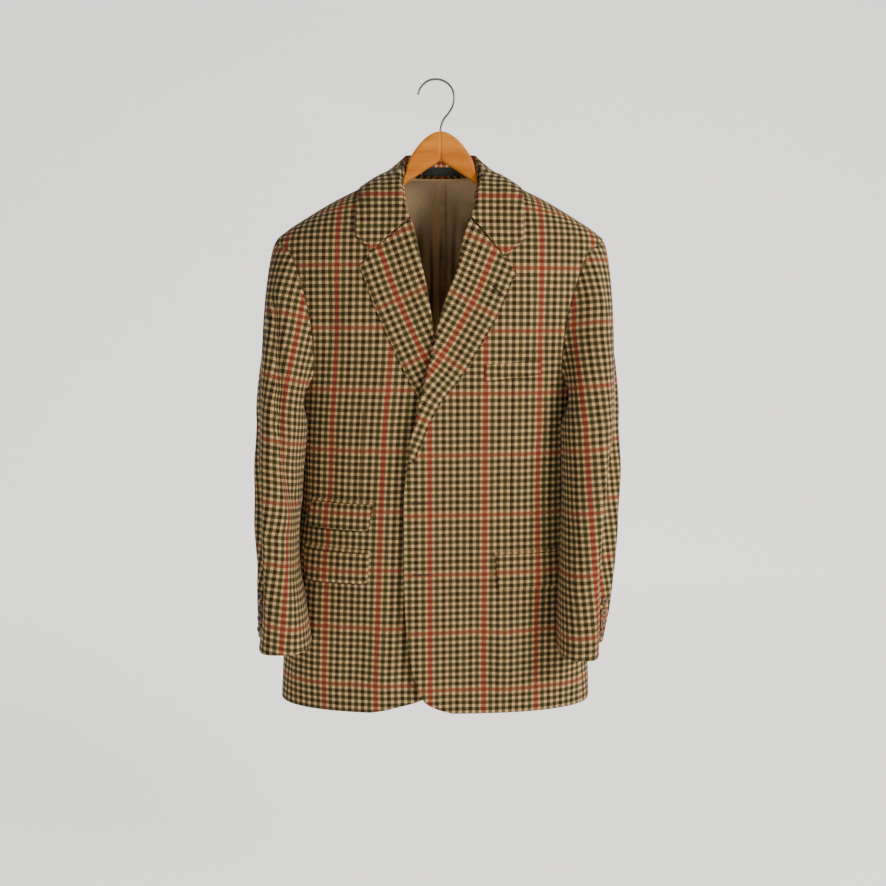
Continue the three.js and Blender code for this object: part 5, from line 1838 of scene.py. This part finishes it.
def make_lining(side):
    sign = SIGN[side]
    laps = side == "right"
    rail = back_rails(LINING_TOP)
    outer_turn, outer_z = back_outer(rail)
    inner_z = back_inner_z(rail)
    u = spaced(LINING_WIDE, LINING_STEP) * LINING_SHARE
    if laps:
        u = np.r_[PLEAT_WAYS, u]
    over = np.maximum(u, 0)
    z = mix(inner_z, outer_z, over) + LINING_HEM * np.maximum(1 - rail, 0)
    pleat = turn_for(LINING_PLEAT, 180, z) * np.maximum(-u, 0)
    start = 180 - turn_for(SEAM, 180, z) * (u >= 0)
    turn = sign * (mix(start, outer_turn, over) + pleat)
    inside = WALL + LINING_GAP + 0 * z
    if laps:
        from_edge = LINING_PLEAT * (1 + np.minimum(u, 0)) + BACK_WIDE * over
        lift = ease(1 - from_edge / PLEAT_WIDE) * ease((PLEAT_FROM - z) / PLEAT_GROWS)
        inside += LINING_LAP * ease(1 - over / LAP_SHARE) + PLEAT_LIFT * lift
        turn, z, inside = turn[:, ::-1], z[:, ::-1], inside[:, ::-1]
    normals = form_normal(turn, z)
    outer = form_point(turn, z) - normals * inside[..., None]
    outer = creased(outer, normals, form_creases(BACK_CREASES, sign) + lining_folds())
    uv = body_cut(turn, z, sign * 180, BACK_RED_WEFT_Z)
    outer, uv = outer[:, ::-1], uv[:, ::-1]
    # Its finish paints light and shade on the sides of the folds and the pleat.
    piece = add_wall(
        f"cloth_lining_{side}", outer, uv, inset=-LINING_WALL / 2, wall=LINING_WALL,
        materials=(lining_painted_fold_light,),
    )
    sew(piece, uv, f"lining_back_{side}")


for side in SIGN:
    make_lining(side)

# %% The label
LABEL_WAYS = (-0.2, 0.25)
LABEL_KNOTS = (0.16, 1.0)
LABEL_WALL = 0.6
LABEL_GAP = 0.3
ways = np.linspace(*LABEL_WAYS, 60)
stand = np.linspace(*LABEL_KNOTS, 10)
points = np.array([collar_section(way, stand) for way in ways])
across = run_along(points[:, len(stand) // 2])
up = run_along(points[len(ways) // 2])
uv = np.stack(np.broadcast_arrays(across[:, None], up[None]), -1)
inset = COLLAR_WALL / 2 + LABEL_GAP + LABEL_WALL / 2
piece = add_wall(
    "cloth_neck_label", points, uv, inset=inset, wall=LABEL_WALL, materials=(label_cloth,)
)
sew(piece, uv, "neck_label")

# %% [markdown]
# ## The hanger
# Two shaped arms of warm wood meet in a glued joint at the middle, where a dark steel hook is
# screwed in. It carries no mark. Each arm is a row of rounded sections between a top and a foot
# line, which gives the wide head and the slim ends that a bevelled curve could not.

# %% The hanger's arms
ARM_MIDDLE = 5.5
ARM_SQUARE = 0.55  # power of the arm's rounded section
ARM_ROUNDS = 48
ARM_OUTS = np.r_[0.02, 0.6, np.linspace(1.5, 220, 90), 221, 221.7, 222]
arm = tracks(table("out top foot deep", """
    0.15   -74    -117.5 7
    10     -76.5  -124   7
    20     -82    -130   7
    30     -90.5  -136.5 7
    43     -107   -145   7
    48.5   -117   -149   7
    52     -127   -151.5 7
    54.5   -140   -153.5 7
    75     -147   -164   7.5
    110    -158.6 -180   8.5
    150    -178   -202  10
    185    -197.3 -221  11
    212    -213   -234  10
    222    -219.5 -232   8
"""), "out")


def rounded(part):
    return np.sign(part) * abs(part) ** ARM_SQUARE


def make_arm(side):
    """Sections from the joint out to the tip, which draw in a little at both ends."""
    angle = (np.arange(ARM_ROUNDS) + 0.5) / ARM_ROUNDS * 2 * np.pi
    rings = []
    for out in ARM_OUTS:
        joint = 1 - min((out - 0.15) / 1.2, 1)
        tip = max((out - 220) / 2, 0)
        inset = 1 - 0.12 * joint ** 2 - 0.25 * tip ** 2
        middle = (arm["top"](out) + arm["foot"](out)) / 2
        half = (arm["top"](out) - arm["foot"](out)) / 2 * inset
        x = np.full(ARM_ROUNDS, ARM_MIDDLE + SIGN[side] * out)
        y = arm["deep"](out) * inset * rounded(np.cos(angle))
        z = middle + half * rounded(np.sin(angle))
        rings.append(np.stack([x, y, z], -1))
    piece = add_rings(f"wood_arm_{side}", rings, wood)
    dress(piece, [f"hanger_arm_{side}"])
    print(f"{piece.name}:", [round(length, 3) for length in piece.dimensions])


for side in SIGN:
    make_arm(side)

# %% The hook
WIRE = 3.4
HOOK = table("x z", """
      5.5 -96
      5.5 -84
      5.5 -70
      9.5 -58
     18   -47
     23.4 -38
     25.9 -27
     23.7 -14
     16.6  -4.8
      7.5   0.2
     -2     1.7
    -12     0
    -21    -5.8
    -26.5 -13
    -29   -21
""")
knots = np.stack([HOOK["x"], 0 * HOOK["x"], HOOK["z"]], -1)
run = run_along(knots)
wire = curve_through(run, knots, np.linspace(0, run[-1], 120))
piece = add_tube("steel_hook", wire, WIRE / 2, steel, 20)
dress(piece, ["hanger_hook"])
print("hook:", round(float(run[-1])), "mm of wire")

# %% [markdown]
# ## Turn the pieces' faces outward
# Each piece's faces have to point out of it, or its finish and its solid come out wrong. Blender
# can turn them itself, piece by piece.

# %% Faces outward
drawn = [o for o in bpy.data.objects if o.type == "MESH" and o.get("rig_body")]
drawn = [o for o in drawn if o.name not in frame["nodes"]]
for piece in drawn:
    bpy.ops.object.select_all(action="DESELECT")
    piece.select_set(True)
    bpy.context.view_layer.objects.active = piece
    bpy.ops.object.mode_set(mode="EDIT")
    bpy.ops.mesh.select_all(action="SELECT")
    bpy.ops.mesh.normals_make_consistent(inside=False)
    bpy.ops.object.mode_set(mode="OBJECT")
print("pieces drawn:", len(drawn))
